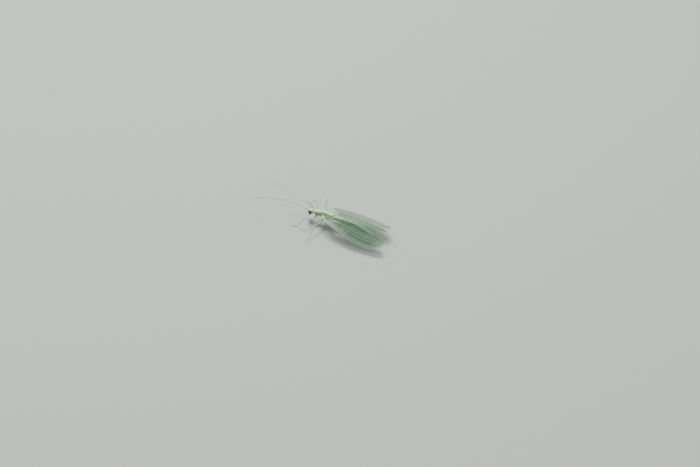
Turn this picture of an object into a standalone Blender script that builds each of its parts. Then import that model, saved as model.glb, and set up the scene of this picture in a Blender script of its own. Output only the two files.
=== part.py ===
# Green lacewing at rest, life size, as a still museum-style model.
# Sizes below are millimetres in the insect's own frame: the front of the head is at x = 0, the tail
# is towards +X, its left side is -Y and the floor is z = 0. make_object turns them into metres.

import math

import bmesh
import bpy
from mathutils import Matrix, Vector

MM = 0.001
GAP = 0.30  # between a piece and what it grows from
EYE_GAP = 0.20  # behind each eye, which is itself only 0.3 deep

# Where the trunk is parted, along X
HEAD_BACK = 1.02
PROTHORAX_BACK = 2.20
MESOTHORAX_BACK = 3.75
METATHORAX_BACK = 4.80
ABDOMEN_LENGTH = 7.45

# Thorax profile: x, half width, height of the back, height of the underside
THORAX = (
    (1.20, 0.42, 2.44, 1.70),
    (1.75, 0.52, 2.68, 1.68),
    (2.20, 0.54, 2.80, 1.66),
    (2.70, 0.74, 3.02, 1.56),
    (3.20, 0.84, 3.20, 1.50),
    (3.75, 0.78, 3.12, 1.54),
    (4.20, 0.74, 3.08, 1.62),
    (4.80, 0.60, 2.94, 1.78),
    (5.20, 0.52, 2.88, 1.86),
)
THORAX_SIDES = 20
THORAX_SQUARENESS = 2.3  # exponent of the cross-section: 2 is an ellipse
EDGE_ROUND = 0.10  # how far the rounded rim of a trunk piece reaches
RIM_SHARE = 0.88  # size of the end face against the section just behind it

# Abdomen: share of its length, half width
ABDOMEN = (
    (0.00, 0.46),
    (0.10, 0.56),
    (0.28, 0.64),
    (0.52, 0.67),
    (0.74, 0.64),
    (0.88, 0.50),
    (0.96, 0.36),
    (1.00, 0.24),
)
ABDOMEN_SEGMENTS = 9
ABDOMEN_SIDES = 18
ABDOMEN_START_Z = 2.38
ABDOMEN_DROOP = 1.20
ABDOMEN_SWING = -0.15  # the tip bends to the insect's left
ABDOMEN_TALLER = 1.05
SEGMENT_GROOVE = 0.06

# Head: an oval capsule with a flat back, set a little nose-down
HEAD_CENTRE = (0.56, 0.0, 1.98)
HEAD_RADII = (0.50, 0.50, 0.64)
HEAD_NOD = math.radians(-10.0)
CLYPEUS_CENTRE = (0.40, 0.0, 1.44)
CLYPEUS_RADII = (0.24, 0.29, 0.24)
LABRUM_CENTRE = (0.38, 0.0, 1.25)
LABRUM_RADII = (0.16, 0.21, 0.15)
PALP_ROOT = (0.50, 0.20, 1.46)
PALP_LENGTH = 0.62
PALP_RADIUS = 0.13
EYE_CENTRE = (0.50, 0.56, 2.12)  # on the flat inner face
EYE_RADII = (0.31, 0.31, 0.37)
SOCKET_RADIUS = 0.43
SOCKET_DEPTH = 0.40

# Antennae
ANTENNA_ROOT = (-0.10, 0.41, 2.36)
ANTENNA_LENGTH = 11.0
ANTENNA_RADIUS = 0.25
ANTENNA_TIP_RADIUS = 0.11
ANTENNA_YAW = (6.0, 22.0)  # degrees outward from straight ahead, at the root and at the tip
ANTENNA_PITCH = (34.0, -16.0)  # degrees above level, at the root and at the tip
ANTENNA_STEPS = 18

# Wings lie as a roof. Down the roof its slope grows from the ridge to the costal edge.
RIDGE_SLOPE = math.radians(18.0)
COSTAL_SLOPE = math.radians(50.0)
ROOF_WIDTH = 4.40
RIDGE = ((2.60, 3.16), (4.00, 3.54), (5.50, 3.72), (8.00, 3.76), (11.0, 3.56), (15.3, 3.14))
WING_THICKNESS = 0.50
WING_TIP_THICKNESS = 0.30
TIP_START = 0.82
VEIN_HEIGHT = 0.10
CROSS_VEIN_HEIGHT = 0.07
VEIN_HALF_WIDTH = 0.11
CLOSEST_VEINS = 0.05  # least half width of a vein as a share of a narrow wing
CROSS_SLANT = 0.10  # how far a cross vein runs on towards the tip on its way to a margin
ROOT_BLEND = 0.16  # share of a wing's length over which its root turns into the roof

# Each wing's outline is given by the two margins: share of the length, distance down the roof
FOREWING = {
    "length": 12.15,
    "base": 2.95,
    "costal": ((0.0, 1.75), (0.08, 2.15), (0.2, 2.80), (0.4, 3.66), (0.6, 4.12), (0.78, 4.08),
               (0.9, 3.60), (0.965, 3.00), (1.0, 2.35)),
    "hind": ((0.0, 1.35), (0.08, 1.12), (0.2, 0.56), (0.35, 0.30), (0.62, 0.32), (0.76, 0.45),
             (0.87, 0.85), (0.95, 1.35), (1.0, 1.90)),
    "below": 0.0,
    "root_x": (2.70, 3.36),
    "root_z": (2.62, 2.78),
    # Veins by share of the length and place across, from the hind margin at 0 to the costa at 1
    "veins": (
        ((0.0, 0.24), (0.16, 0.27), (0.5, 0.22), (1.0, 0.22)),
        ((0.0, 0.42), (0.16, 0.46), (0.5, 0.43), (1.0, 0.42)),
        ((0.0, 0.60), (0.16, 0.66), (0.5, 0.66), (1.0, 0.62)),
        ((0.0, 0.78), (0.16, 0.83), (0.5, 0.87), (1.0, 0.82)),
    ),
    "cross_veins": (0.10, 0.19, 0.28, 0.37, 0.46, 0.55, 0.64, 0.73, 0.82, 0.90),
}
HINDWING = {
    "length": 10.4,
    "base": 4.25,
    "costal": ((0.0, 2.15), (0.1, 2.60), (0.25, 3.25), (0.5, 3.98), (0.72, 4.00), (0.88, 3.50),
               (0.96, 2.95), (1.0, 2.50)),
    "hind": ((0.0, 1.90), (0.1, 1.80), (0.25, 1.68), (0.5, 1.64), (0.72, 1.58), (0.88, 1.62),
             (0.96, 1.84), (1.0, 2.10)),
    "below": 0.86,
    "root_x": (4.12, 4.66),
    "root_z": (2.16, 2.30),
    "veins": (
        ((0.0, 0.30), (0.2, 0.34), (1.0, 0.28)),
        ((0.0, 0.54), (0.2, 0.60), (1.0, 0.54)),
        ((0.0, 0.77), (0.2, 0.84), (1.0, 0.79)),
    ),
    "cross_veins": (0.12, 0.24, 0.36, 0.48, 0.60, 0.71, 0.81, 0.90),
}

# Legs: each segment is (degrees out from straight ahead, degrees above level, length). The pitch
# of the tibia follows from the height of its knee, and the tarsus lies on the floor.
LEG_RADIUS = 0.25
TARSUS_HEIGHT = 0.20
COXA_STUB = 0.16  # first bit of the coxa, square to the thorax wall
LEG_SIDES = 8
LEGS = {
    "front": {"station": 1.72, "round": 128, "coxa": (70, -14, 0.42), "femur": (44, 24, 1.90),
              "tibia": (24, 2.45), "tarsus": (16, 1.15)},
    "middle": {"station": 3.05, "round": 130, "coxa": (80, -14, 0.42), "femur": (70, 20, 1.95),
               "tibia": (84, 2.60), "tarsus": (98, 1.15)},
    "hind": {"station": 4.35, "round": 138, "coxa": (118, -42, 0.46), "femur": (161, -5, 1.85),
             "tibia": (172, 3.20), "tarsus": (177, 1.25)},
}
RIGHT_STEP = {"front": 7, "middle": -6, "hind": 4}  # degrees that the right legs differ by

COLOURS = {
    "head": (0.46, 0.52, 0.20, 0.45),
    "eye": (0.16, 0.10, 0.03, 0.20),
    "antenna": (0.50, 0.46, 0.22, 0.55),
    "thorax": (0.30, 0.50, 0.16, 0.45),
    "abdomen": (0.34, 0.52, 0.20, 0.50),
    "leg": (0.42, 0.54, 0.24, 0.50),
    "wing": (0.55, 0.68, 0.45, 0.25),
}


def clear_scene():
    for old in list(bpy.data.objects):
        bpy.data.objects.remove(old, do_unlink=True)


def make_material(name):
    red, green, blue, roughness = COLOURS[name]
    material = bpy.data.materials.new(name)
    material.use_nodes = True
    shader = material.node_tree.nodes["Principled BSDF"]
    shader.inputs["Base Color"].default_value = (red, green, blue, 1.0)
    shader.inputs["Roughness"].default_value = roughness
    shader.inputs["Metallic"].default_value = 0.0
    return material


def make_object(name, points, faces, material, parent, origin=(0.0, 0.0, 0.0)):
    """One named object from points in millimetres, with its own origin at the given point."""
    root = Vector(origin)
    mesh = bpy.data.meshes.new(name)
    mesh.from_pydata([(Vector(p) - root) * MM for p in points], [], faces)
    mesh.materials.append(material)
    mesh.shade_smooth()
    mesh.set_sharp_from_angle(angle=math.radians(40.0))
    made = bpy.data.objects.new(name, mesh)
    made.location = root * MM
    made.parent = parent
    bpy.context.scene.collection.objects.link(made)
    return made


def through(stations, at):
    """Values at one place on the smooth curve through rows of (place, value, ...)."""
    places = [row[0] for row in stations]
    last = len(places) - 1
    at = min(max(at, places[0]), places[last])
    i = max(k for k in range(last) if places[k] <= at)
    step = places[i + 1] - places[i]
    u = (at - places[i]) / step

    def slope(k, value):
        before, after = max(k - 1, 0), min(k + 1, last)
        return (stations[after][value] - stations[before][value]) / (places[after] - places[before])

    found = []
    for value in range(1, len(stations[0])):
        p0, p1 = stations[i][value], stations[i + 1][value]
        m0, m1 = slope(i, value) * step, slope(i + 1, value) * step
        found.append((2 * u**3 - 3 * u**2 + 1) * p0 + (u**3 - 2 * u**2 + u) * m0
                     + (3 * u**2 - 2 * u**3) * p1 + (u**3 - u**2) * m1)
    return found if len(found) > 1 else found[0]


def ease(u):
    u = min(max(u, 0.0), 1.0)
    return u * u * (3 - 2 * u)


def skin_rings(rings):
    """Closed surface over rings of equal count, each end closed by a fan to its middle."""
    count = len(rings[0])
    points = [point for ring in rings for point in ring]
    faces = []
    for i in range(len(rings) - 1):
        for j in range(count):
            a, b = i * count + j, i * count + (j + 1) % count
            faces += [(a, b + count, b), (a, a + count, b + count)]
    last = (len(rings) - 1) * count
    for start, ring in ((0, rings[0]), (last, rings[-1])):
        middle = len(points)
        points.append(sum((Vector(p) for p in ring), Vector()) / count)
        for j in range(count):
            a, b = start + j, start + (j + 1) % count
            faces.append((a, b, middle) if start == 0 else (b, a, middle))
    return points, faces


def power(value, exponent):
    return math.copysign(abs(value) ** exponent, value)


def thorax_point(x, turn, size=1.0):
    """Point of the thorax at station x. turn is 0 on the back and grows towards the right side."""
    width, top, bottom = through(THORAX, x)
    middle, height = (top + bottom) / 2, (top - bottom) / 2
    reach = 2 / THORAX_SQUARENESS
    lobe = 1.0 + 0.05 * math.exp(-((abs(turn) - 0.55) / 0.28) ** 2) - 0.04 * math.exp(-(turn / 0.2) ** 2)
    return Vector((x, size * width * power(math.sin(turn), reach),
                   middle + size * lobe * height * power(math.cos(turn), reach)))


def thorax_piece(start, end):
    """The stretch of the thorax between two cuts, with rounded rims and flat end faces."""
    places = [(start, RIM_SHARE), (start + EDGE_ROUND, 0.98)]
    inner = 5
    first, last = start + 2.5 * EDGE_ROUND, end - 2.5 * EDGE_ROUND
    places += [(first + (last - first) * k / (inner - 1), 1.0) for k in range(inner)]
    places += [(end - EDGE_ROUND, 0.98), (end, RIM_SHARE)]
    turns = [2 * math.pi * j / THORAX_SIDES for j in range(THORAX_SIDES)]
    turns = [t if t <= math.pi else t - 2 * math.pi for t in turns]
    return skin_rings([[thorax_point(x, t, size) for t in turns] for x, size in places])


def abdomen_axis(share):
    x = METATHORAX_BACK + GAP + ABDOMEN_LENGTH * share
    return Vector((x, ABDOMEN_SWING * share**2.2, ABDOMEN_START_Z - ABDOMEN_DROOP * share**1.9))


def abdomen_piece():
    rings = []
    shares = [(k + part) / ABDOMEN_SEGMENTS for k in range(ABDOMEN_SEGMENTS)
              for part in (0.0, 0.16, 0.5, 0.84)] + [1.0]
    for share in shares:
        heading = (abdomen_axis(share + 0.01) - abdomen_axis(share - 0.01) if share > 0.01
                   else Vector((1, 0, 0)))
        side = heading.cross(Vector((0, 0, 1))).normalized()
        up = side.cross(heading).normalized()
        half = through(ABDOMEN, share)
        in_groove = abs(share * ABDOMEN_SEGMENTS - round(share * ABDOMEN_SEGMENTS)) < 0.01
        if in_groove and 0 < share < 1:
            half *= 1 - SEGMENT_GROOVE
        ring = []
        for j in range(ABDOMEN_SIDES):
            turn = 2 * math.pi * j / ABDOMEN_SIDES
            ring.append(abdomen_axis(share) - side * half * math.sin(turn)
                        + up * half * ABDOMEN_TALLER * math.cos(turn))
        rings.append(ring)
    return skin_rings(rings)


def tube_rings(path, radii, sides):
    """Rings across a path, each turned to halve the bend there."""
    rings = []
    up = Vector((0, 0, 1))
    for i, (centre, radius) in enumerate(zip(path, radii)):
        before = (centre - path[i - 1]).normalized() if i else (path[1] - path[0]).normalized()
        after = (path[i + 1] - centre).normalized() if i < len(path) - 1 else before
        heading = (before + after).normalized()
        side = heading.cross(up).normalized()
        rise = side.cross(heading).normalized()
        widen = 1 / max(0.75, heading.dot(before))  # keeps the tube's width through a bend
        ring = []
        for j in range(sides):
            turn = 2 * math.pi * (j + 0.5) / sides
            ring.append(centre - side * radius * math.sin(turn) + rise * radius * widen * math.cos(turn))
        rings.append(ring)
    return rings


def direction(out, above, side):
    """Unit vector out degrees from straight ahead towards side, and above degrees over level."""
    a, b = math.radians(out), math.radians(above)
    return Vector((-math.cos(a) * math.cos(b), side * math.sin(a) * math.cos(b), math.sin(b)))


def leg_joints(which, side):
    """Root, end of the coxa's stub, trochanter, knee, ankle and toe of one leg."""
    leg = LEGS[which]
    step = RIGHT_STEP[which] if side > 0 else 0
    turn = math.radians(leg["round"]) * side
    skin = thorax_point(leg["station"], turn)
    middle = Vector((leg["station"], 0, sum(through(THORAX, leg["station"])[1:]) / 2))
    root = skin + (skin - middle).normalized() * GAP
    stub = root + (skin - middle).normalized() * COXA_STUB
    out, above, length = leg["coxa"]
    trochanter = stub + direction(out, above, side) * length
    out, above, length = leg["femur"]
    knee = trochanter + direction(out + step, above, side) * length
    out, length = leg["tibia"]
    fall = math.degrees(math.asin((knee.z - TARSUS_HEIGHT) / length))
    ankle = knee + direction(out + step, -fall, side) * length
    out, length = leg["tarsus"]
    toe = ankle + direction(out + step, 0, side) * length
    return root, stub, trochanter, knee, ankle, toe


def leg_piece(which, side):
    root, stub, trochanter, knee, ankle, toe = leg_joints(which, side)
    thick = LEG_RADIUS
    path = [root, stub, trochanter]
    radii = [thick * 0.96, thick * 1.12, thick]
    for share, size in ((0.3, 1.1), (0.7, 1.08), (0.9, 1.0)):
        path.append(trochanter.lerp(knee, share))
        radii.append(thick * size)
    path.append(knee)
    radii.append(thick * 1.04)
    for share, size in ((0.12, 1.0), (0.5, 0.96), (0.9, 0.98)):
        path.append(knee.lerp(ankle, share))
        radii.append(thick * size)
    path.append(ankle)
    radii.append(thick)
    for share, size in ((0.25, 1.0), (0.5, 0.96), (0.75, 0.98), (0.9, 1.0), (1.0, 0.7)):
        path.append(ankle.lerp(toe, share))
        radii.append(thick * size)
    rings = tube_rings(path, radii, LEG_SIDES)
    # The sole of the tarsus is flat, on the floor
    rings = [[Vector((p.x, p.y, max(p.z, 0.0))) for p in ring] for ring in rings]
    return skin_rings(rings), root


def antenna_piece(side):
    root = Vector((ANTENNA_ROOT[0], side * ANTENNA_ROOT[1], ANTENNA_ROOT[2]))
    path, radii = [root], [ANTENNA_RADIUS]
    for k in range(ANTENNA_STEPS):
        u = (k + 0.5) / ANTENNA_STEPS
        out = ANTENNA_YAW[0] + (ANTENNA_YAW[1] - ANTENNA_YAW[0]) * u
        above = ANTENNA_PITCH[0] + (ANTENNA_PITCH[1] - ANTENNA_PITCH[0]) * u**0.6
        path.append(path[-1] + direction(out, above, side) * (ANTENNA_LENGTH / ANTENNA_STEPS))
        end = (k + 1) / ANTENNA_STEPS
        radii.append(ANTENNA_RADIUS + (ANTENNA_TIP_RADIUS - ANTENNA_RADIUS) * ease((end - 0.7) / 0.3))
    return skin_rings(tube_rings(path, radii, 8)), root


def roof_point(x, down, below=0.0):
    """Point of the left or right roof (side +1) at station x, a distance down it from the ridge."""
    curl = (COSTAL_SLOPE - RIDGE_SLOPE) / ROOF_WIDTH
    slope = RIDGE_SLOPE + curl * down
    y = (math.sin(slope) - math.sin(RIDGE_SLOPE)) / curl
    z = through(RIDGE, x) - (math.cos(RIDGE_SLOPE) - math.cos(slope)) / curl
    return Vector((x, y, z)) - Vector((0, math.sin(slope), math.cos(slope))) * below


def wing_point(wing, share, across):
    """Middle of a right wing's sheet: share 0 at the root to 1 at the tip, across 0 at the hind
    margin to 1 at the costal margin. The root lies along the thorax wall and turns into the roof."""
    hind, costal = through(wing["hind"], share), through(wing["costal"], share)
    on_roof = roof_point(wing["base"] + wing["length"] * share, hind + (costal - hind) * across,
                         wing["below"])
    x0, x1 = wing["root_x"]
    z0, z1 = wing["root_z"]
    x = x1 + (x0 - x1) * across
    wall = thorax_point(x, math.pi / 2).y
    at_root = Vector((x, wall + GAP, z1 + (z0 - z1) * across))
    return at_root.lerp(on_roof, ease(share / ROOT_BLEND))


def wing_normal(wing, share, across):
    step = 0.004
    s0, s1 = max(share - step, 0.0), min(share + step, 1.0)
    a0, a1 = max(across - step, 0.0), min(across + step, 1.0)
    along = wing_point(wing, s1, across) - wing_point(wing, s0, across)
    over = wing_point(wing, share, a1) - wing_point(wing, share, a0)
    normal = along.cross(over).normalized()
    if normal.z < 0:
        normal = -normal
    # The root face stands upright, square to the thorax wall
    return Vector((0, 0, 1)).lerp(normal, ease(share / ROOT_BLEND)).normalized()


def wing_columns(wing, share):
    """Places across the sheet at one station, each with the height that a vein raises it by."""
    chord = through(wing["costal"], share) - through(wing["hind"], share)
    half = min(VEIN_HALF_WIDTH / chord, CLOSEST_VEINS)
    columns = [(0.0, VEIN_HEIGHT), (half, 0.0)]
    for vein in wing["veins"]:
        middle = through(vein, share)
        columns += [(middle - half, 0.0), (middle, VEIN_HEIGHT), (middle + half, 0.0)]
    return columns + [(1 - half, 0.0), (1.0, VEIN_HEIGHT)]


def wing_rows(wing):
    """Stations along the sheet, each with the height that a cross vein raises it by."""
    half = VEIN_HALF_WIDTH / wing["length"]
    rows = [(0.0, 0.0), (wing["cross_veins"][0] / 2, 0.0)]
    for share in wing["cross_veins"]:
        rows += [(share - half, 0.0), (share, CROSS_VEIN_HEIGHT), (share + half, 0.0)]
    last = rows[-1][0]
    return rows + [(last + (1 - last) * part, 0.0) for part in (0.45, 0.78, 1.0)]


def slanted(wing, share, across):
    """Station of a point on a row, which runs tipwards to both margins from the front vein."""
    front = through(wing["veins"][-1], share)
    return share + CROSS_SLANT * abs(front - across) * 4 * share * (1 - share) ** 1.5


def wing_piece(wing, side):
    """Closed sheet over the wing's middle surface, split into triangles alike on both faces, with
    the veins raised in its outer face."""
    rows = wing_rows(wing)
    upper, lower = [], []
    for row, cross_height in rows:
        columns = wing_columns(wing, row)
        for across, vein_height in columns:
            share = slanted(wing, row, across)
            thick = WING_THICKNESS + (WING_TIP_THICKNESS - WING_THICKNESS) * ease(
                (share - TIP_START) / (1 - TIP_START))
            middle = wing_point(wing, share, across)
            normal = wing_normal(wing, share, across)
            upper.append(middle + normal * (thick / 2 + max(vein_height, cross_height)))
            lower.append(middle - normal * thick / 2)
    width = len(columns)
    count = len(upper)
    faces = []
    for i in range(len(rows) - 1):
        for j in range(width - 1):
            a, b = i * width + j, i * width + j + 1
            c, d = b + width, a + width
            faces += [(a, d, c), (a, c, b)]
            faces += [(a + count, c + count, d + count), (a + count, b + count, c + count)]
    last = (len(rows) - 1) * width
    rim = list(range(width))
    rim += [i * width + width - 1 for i in range(1, len(rows))]
    rim += [last + j for j in range(width - 2, -1, -1)]
    rim += [i * width for i in range(len(rows) - 2, 0, -1)]
    for k, a in enumerate(rim):
        b = rim[(k + 1) % len(rim)]
        faces += [(a, b, b + count), (a, b + count, a + count)]
    points = upper + lower
    if side < 0:
        points = [Vector((p.x, -p.y, p.z)) for p in points]
        faces = [face[::-1] for face in faces]
    return points, faces, points[width // 2]


def oval(name, centre, radii, nod=0.0, segments=20, rings=14):
    """Helper object: an ellipsoid turned about Y by nod."""
    bm = bmesh.new()
    bmesh.ops.create_uvsphere(bm, u_segments=segments, v_segments=rings, radius=1.0)
    size = Matrix.Diagonal((*[r * MM for r in radii], 1.0))
    place = Matrix.Translation(Vector(centre) * MM) @ Matrix.Rotation(nod, 4, "Y") @ size
    bmesh.ops.transform(bm, matrix=place, verts=bm.verts)
    mesh = bpy.data.meshes.new(name)
    bm.to_mesh(mesh)
    bm.free()
    made = bpy.data.objects.new(name, mesh)
    bpy.context.scene.collection.objects.link(made)
    return made


def cut_flat(target, place, normal):
    """Removes what lies beyond a plane and closes the cut."""
    bm = bmesh.new()
    bm.from_mesh(target.data)
    geometry = bm.verts[:] + bm.edges[:] + bm.faces[:]
    cut = bmesh.ops.bisect_plane(bm, geom=geometry, plane_co=Vector(place) * MM, plane_no=normal,
                                 clear_outer=True, dist=1e-8)
    edges = [e for e in cut["geom_cut"] if isinstance(e, bmesh.types.BMEdge)]
    bmesh.ops.contextual_create(bm, geom=edges)
    bmesh.ops.recalc_face_normals(bm, faces=bm.faces)
    bm.to_mesh(target.data)
    bm.free()


def combine(target, helpers, operation):
    """One Boolean of the helpers on the target, applied, with the helpers then removed."""
    group = bpy.data.collections.new("helpers")
    for helper in helpers:
        group.objects.link(helper)
    modifier = target.modifiers.new("combine", "BOOLEAN")
    modifier.operation = operation
    modifier.operand_type = "COLLECTION"
    modifier.collection = group
    modifier.solver = "EXACT"
    graph = bpy.context.evaluated_depsgraph_get()
    joined = bpy.data.meshes.new_from_object(target.evaluated_get(graph))
    target.modifiers.clear()
    old = target.data
    target.data = joined
    bpy.data.meshes.remove(old)
    for helper in helpers:
        bpy.data.objects.remove(helper, do_unlink=True)
    bpy.data.collections.remove(group)


def keep_largest(target):
    """Keeps only the largest closed surface of an object."""
    bm = bmesh.new()
    bm.from_mesh(target.data)
    islands, seen = [], set()
    for start in bm.verts:
        if start in seen:
            continue
        island, stack = set(), [start]
        while stack:
            vert = stack.pop()
            if vert in island:
                continue
            island.add(vert)
            stack += [edge.other_vert(vert) for edge in vert.link_edges]
        seen |= island
        islands.append(island)
    largest = max(islands, key=len)
    bmesh.ops.delete(bm, geom=[v for v in bm.verts if v not in largest], context="VERTS")
    bm.to_mesh(target.data)
    bm.free()


def finish_shape(made, name, material, parent):
    made.name = name
    made.data.name = name
    made.data.materials.clear()
    made.data.materials.append(material)
    made.data.shade_smooth()
    made.data.set_sharp_from_angle(angle=math.radians(40.0))
    made.parent = parent


def palp(side):
    root = Vector((PALP_ROOT[0], side * PALP_ROOT[1], PALP_ROOT[2]))
    path, radii = [root], [PALP_RADIUS]
    steps = 4
    for k in range(steps):
        u = (k + 1) / steps
        path.append(path[-1] + direction(58 - 30 * u, -62 - 8 * u, side) * (PALP_LENGTH / steps))
        radii.append(PALP_RADIUS * (1 - 0.35 * u))
    points, faces = skin_rings(tube_rings(path, radii, 8))
    mesh = bpy.data.meshes.new("palp")
    mesh.from_pydata([p * MM for p in points], [], faces)
    made = bpy.data.objects.new("palp", mesh)
    bpy.context.scene.collection.objects.link(made)
    return made


def build_head(materials, parent):
    head = oval("capsule", HEAD_CENTRE, HEAD_RADII, HEAD_NOD, 22, 14)
    cut_flat(head, (HEAD_BACK, 0, 0), (1, 0, 0))
    face = [oval("clypeus", CLYPEUS_CENTRE, CLYPEUS_RADII, HEAD_NOD, 14, 9),
            oval("labrum", LABRUM_CENTRE, LABRUM_RADII, HEAD_NOD, 14, 8)]
    combine(head, face + [palp(-1), palp(1)], "UNION")
    sockets = []
    for side in (-1, 1):
        bm = bmesh.new()
        bmesh.ops.create_cone(bm, cap_ends=True, segments=20, radius1=SOCKET_RADIUS * MM,
                              radius2=SOCKET_RADIUS * MM, depth=SOCKET_DEPTH * MM)
        middle = side * (EYE_CENTRE[1] - EYE_GAP + SOCKET_DEPTH / 2)
        place = Matrix.Translation(Vector((EYE_CENTRE[0], middle, EYE_CENTRE[2])) * MM)
        bmesh.ops.transform(bm, matrix=place @ Matrix.Rotation(math.pi / 2, 4, "X"), verts=bm.verts)
        mesh = bpy.data.meshes.new("socket")
        bm.to_mesh(mesh)
        bm.free()
        socket = bpy.data.objects.new("socket", mesh)
        bpy.context.scene.collection.objects.link(socket)
        sockets.append(socket)
    combine(head, sockets, "DIFFERENCE")
    keep_largest(head)
    finish_shape(head, "head", materials["head"], parent)


def build_eye(side, label, materials, parent):
    centre = (EYE_CENTRE[0], side * EYE_CENTRE[1], EYE_CENTRE[2])
    eye = oval("eye", centre, EYE_RADII, HEAD_NOD, 16, 11)
    cut_flat(eye, centre, (0, -side, 0))
    finish_shape(eye, "eye_" + label, materials["eye"], parent)


def main():
    clear_scene()
    parent = bpy.data.objects.new("lacewing", None)
    bpy.context.scene.collection.objects.link(parent)
    materials = {name: make_material(name) for name in COLOURS}
    sides = ((-1, "left"), (1, "right"))

    build_head(materials, parent)
    cuts = (("prothorax", HEAD_BACK, PROTHORAX_BACK), ("mesothorax", PROTHORAX_BACK, MESOTHORAX_BACK),
            ("metathorax", MESOTHORAX_BACK, METATHORAX_BACK))
    for name, before, end in cuts:
        points, faces = thorax_piece(before + GAP, end)
        make_object(name, points, faces, materials["thorax"], parent)
    points, faces = abdomen_piece()
    make_object("abdomen", points, faces, materials["abdomen"], parent)
    for side, label in sides:
        build_eye(side, label, materials, parent)
        (points, faces), root = antenna_piece(side)
        make_object("antenna_" + label, points, faces, materials["antenna"], parent, root)
        for which in LEGS:
            (points, faces), root = leg_piece(which, side)
            make_object(f"leg_{which}_{label}", points, faces, materials["leg"], parent, root)
        for name, wing in (("forewing_", FOREWING), ("hindwing_", HINDWING)):
            points, faces, root = wing_piece(wing, side)
            make_object(name + label, points, faces, materials["wing"], parent, root)

    # The insect's frame moves so that its box stands centred on the origin
    bpy.context.view_layer.update()
    corners = [made.matrix_world @ vert.co for made in bpy.data.objects if made.type == "MESH"
               for vert in made.data.vertices]
    for axis in (0, 1):
        reach = [corner[axis] for corner in corners]
        parent.location[axis] = -(min(reach) + max(reach)) / 2
    bpy.context.view_layer.update()


main()
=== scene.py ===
import math

import bmesh
import bpy
import numpy as np
from mathutils import Matrix, Vector, kdtree


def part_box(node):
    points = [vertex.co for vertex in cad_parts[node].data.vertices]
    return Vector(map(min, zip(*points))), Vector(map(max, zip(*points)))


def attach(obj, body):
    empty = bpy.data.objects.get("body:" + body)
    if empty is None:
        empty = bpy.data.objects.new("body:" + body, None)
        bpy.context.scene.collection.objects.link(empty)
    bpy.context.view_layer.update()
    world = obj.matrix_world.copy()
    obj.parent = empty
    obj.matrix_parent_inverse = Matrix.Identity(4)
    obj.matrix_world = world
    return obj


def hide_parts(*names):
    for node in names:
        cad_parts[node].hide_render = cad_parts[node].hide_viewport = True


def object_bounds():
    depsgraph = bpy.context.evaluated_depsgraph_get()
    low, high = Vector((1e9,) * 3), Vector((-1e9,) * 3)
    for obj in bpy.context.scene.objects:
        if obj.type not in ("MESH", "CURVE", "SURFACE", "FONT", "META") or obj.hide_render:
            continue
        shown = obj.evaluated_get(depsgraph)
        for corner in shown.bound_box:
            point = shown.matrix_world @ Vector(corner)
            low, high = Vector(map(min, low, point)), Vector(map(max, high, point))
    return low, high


# Looks of a green lacewing at rest, life size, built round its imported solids.
# Sizes are millimetres in the insect's own frame: the front of the head at x = 0, the tail towards
# +X, its left side at -Y and the floor at z = 0. addPiece turns them into the frame's metres.

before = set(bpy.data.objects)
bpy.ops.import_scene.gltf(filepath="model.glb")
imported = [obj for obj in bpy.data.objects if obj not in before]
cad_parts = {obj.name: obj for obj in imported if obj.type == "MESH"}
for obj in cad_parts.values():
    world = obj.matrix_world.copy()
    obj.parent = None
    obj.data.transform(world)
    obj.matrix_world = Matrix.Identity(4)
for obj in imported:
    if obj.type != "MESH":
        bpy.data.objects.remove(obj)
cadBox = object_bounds()
scene = bpy.context.scene

perMetre = 1000  # millimetres
chestFront = 2.50  # from the front of the head to the front face of the mesothorax
low, high = (np.array(corner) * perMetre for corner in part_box("mesothorax"))
shift = np.array((low[0] - chestFront, (low[1] + high[1]) / 2, 0.0))
print("frame loaded, insect starts at", shift.round(3).tolist())


# Camera, lights and floor

studio = {
    "azimuth": 13.0, "elevation": 48.3,  # degrees, from in front of its left side and from above
    "roll": 9.4,  # degrees; what the insect stands on falls away to the right
    "lens": 100.0, "sensor": 36.0, "near": 0.001, "far": 20.0,
    "pixel": 0.1775,  # millimetres in one pixel at the insect
    "frameSize": (700, 467), "headPoint": (0.0, 0.0, 1.90), "headPixel": (308.2, 210.0),
    "skyColour": (0.90, 0.95, 1.00, 1), "skyStrength": 0.48,
    # name: degrees round from the camera, degrees up, distance, size, watts, colour
    "lamps": {
        "keyLamp": (-155, 62, 0.50, 0.22, 3.9, (0.97, 1.0, 0.95)),
        "fillLamp": (-35, 40, 0.60, 0.40, 0.60, (0.92, 0.97, 1.0)),
        "sideLamp": (80, 35, 0.55, 0.30, 0.45, (0.97, 1.0, 0.96)),
    },
    "lampTarget": (0, 0, 0.002),
    "floorSize": 3.0, "floorColour": (0.43, 0.44, 0.42), "floorUneven": 0.015, "floorCorners": 24,
}


def linked(name, data):
    thing = bpy.data.objects.new(name, data)
    scene.collection.objects.link(thing)
    return thing


def fromAngles(azimuth, elevation):
    a, e = math.radians(azimuth), math.radians(elevation)
    return Vector((math.sin(a) * math.cos(e), -math.cos(a) * math.cos(e), math.sin(e)))


def setUp(name, data, place, turn):
    thing = linked(name, data)
    thing.location, thing.rotation_mode = place, "QUATERNION"
    thing.rotation_quaternion = turn
    return thing


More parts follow.
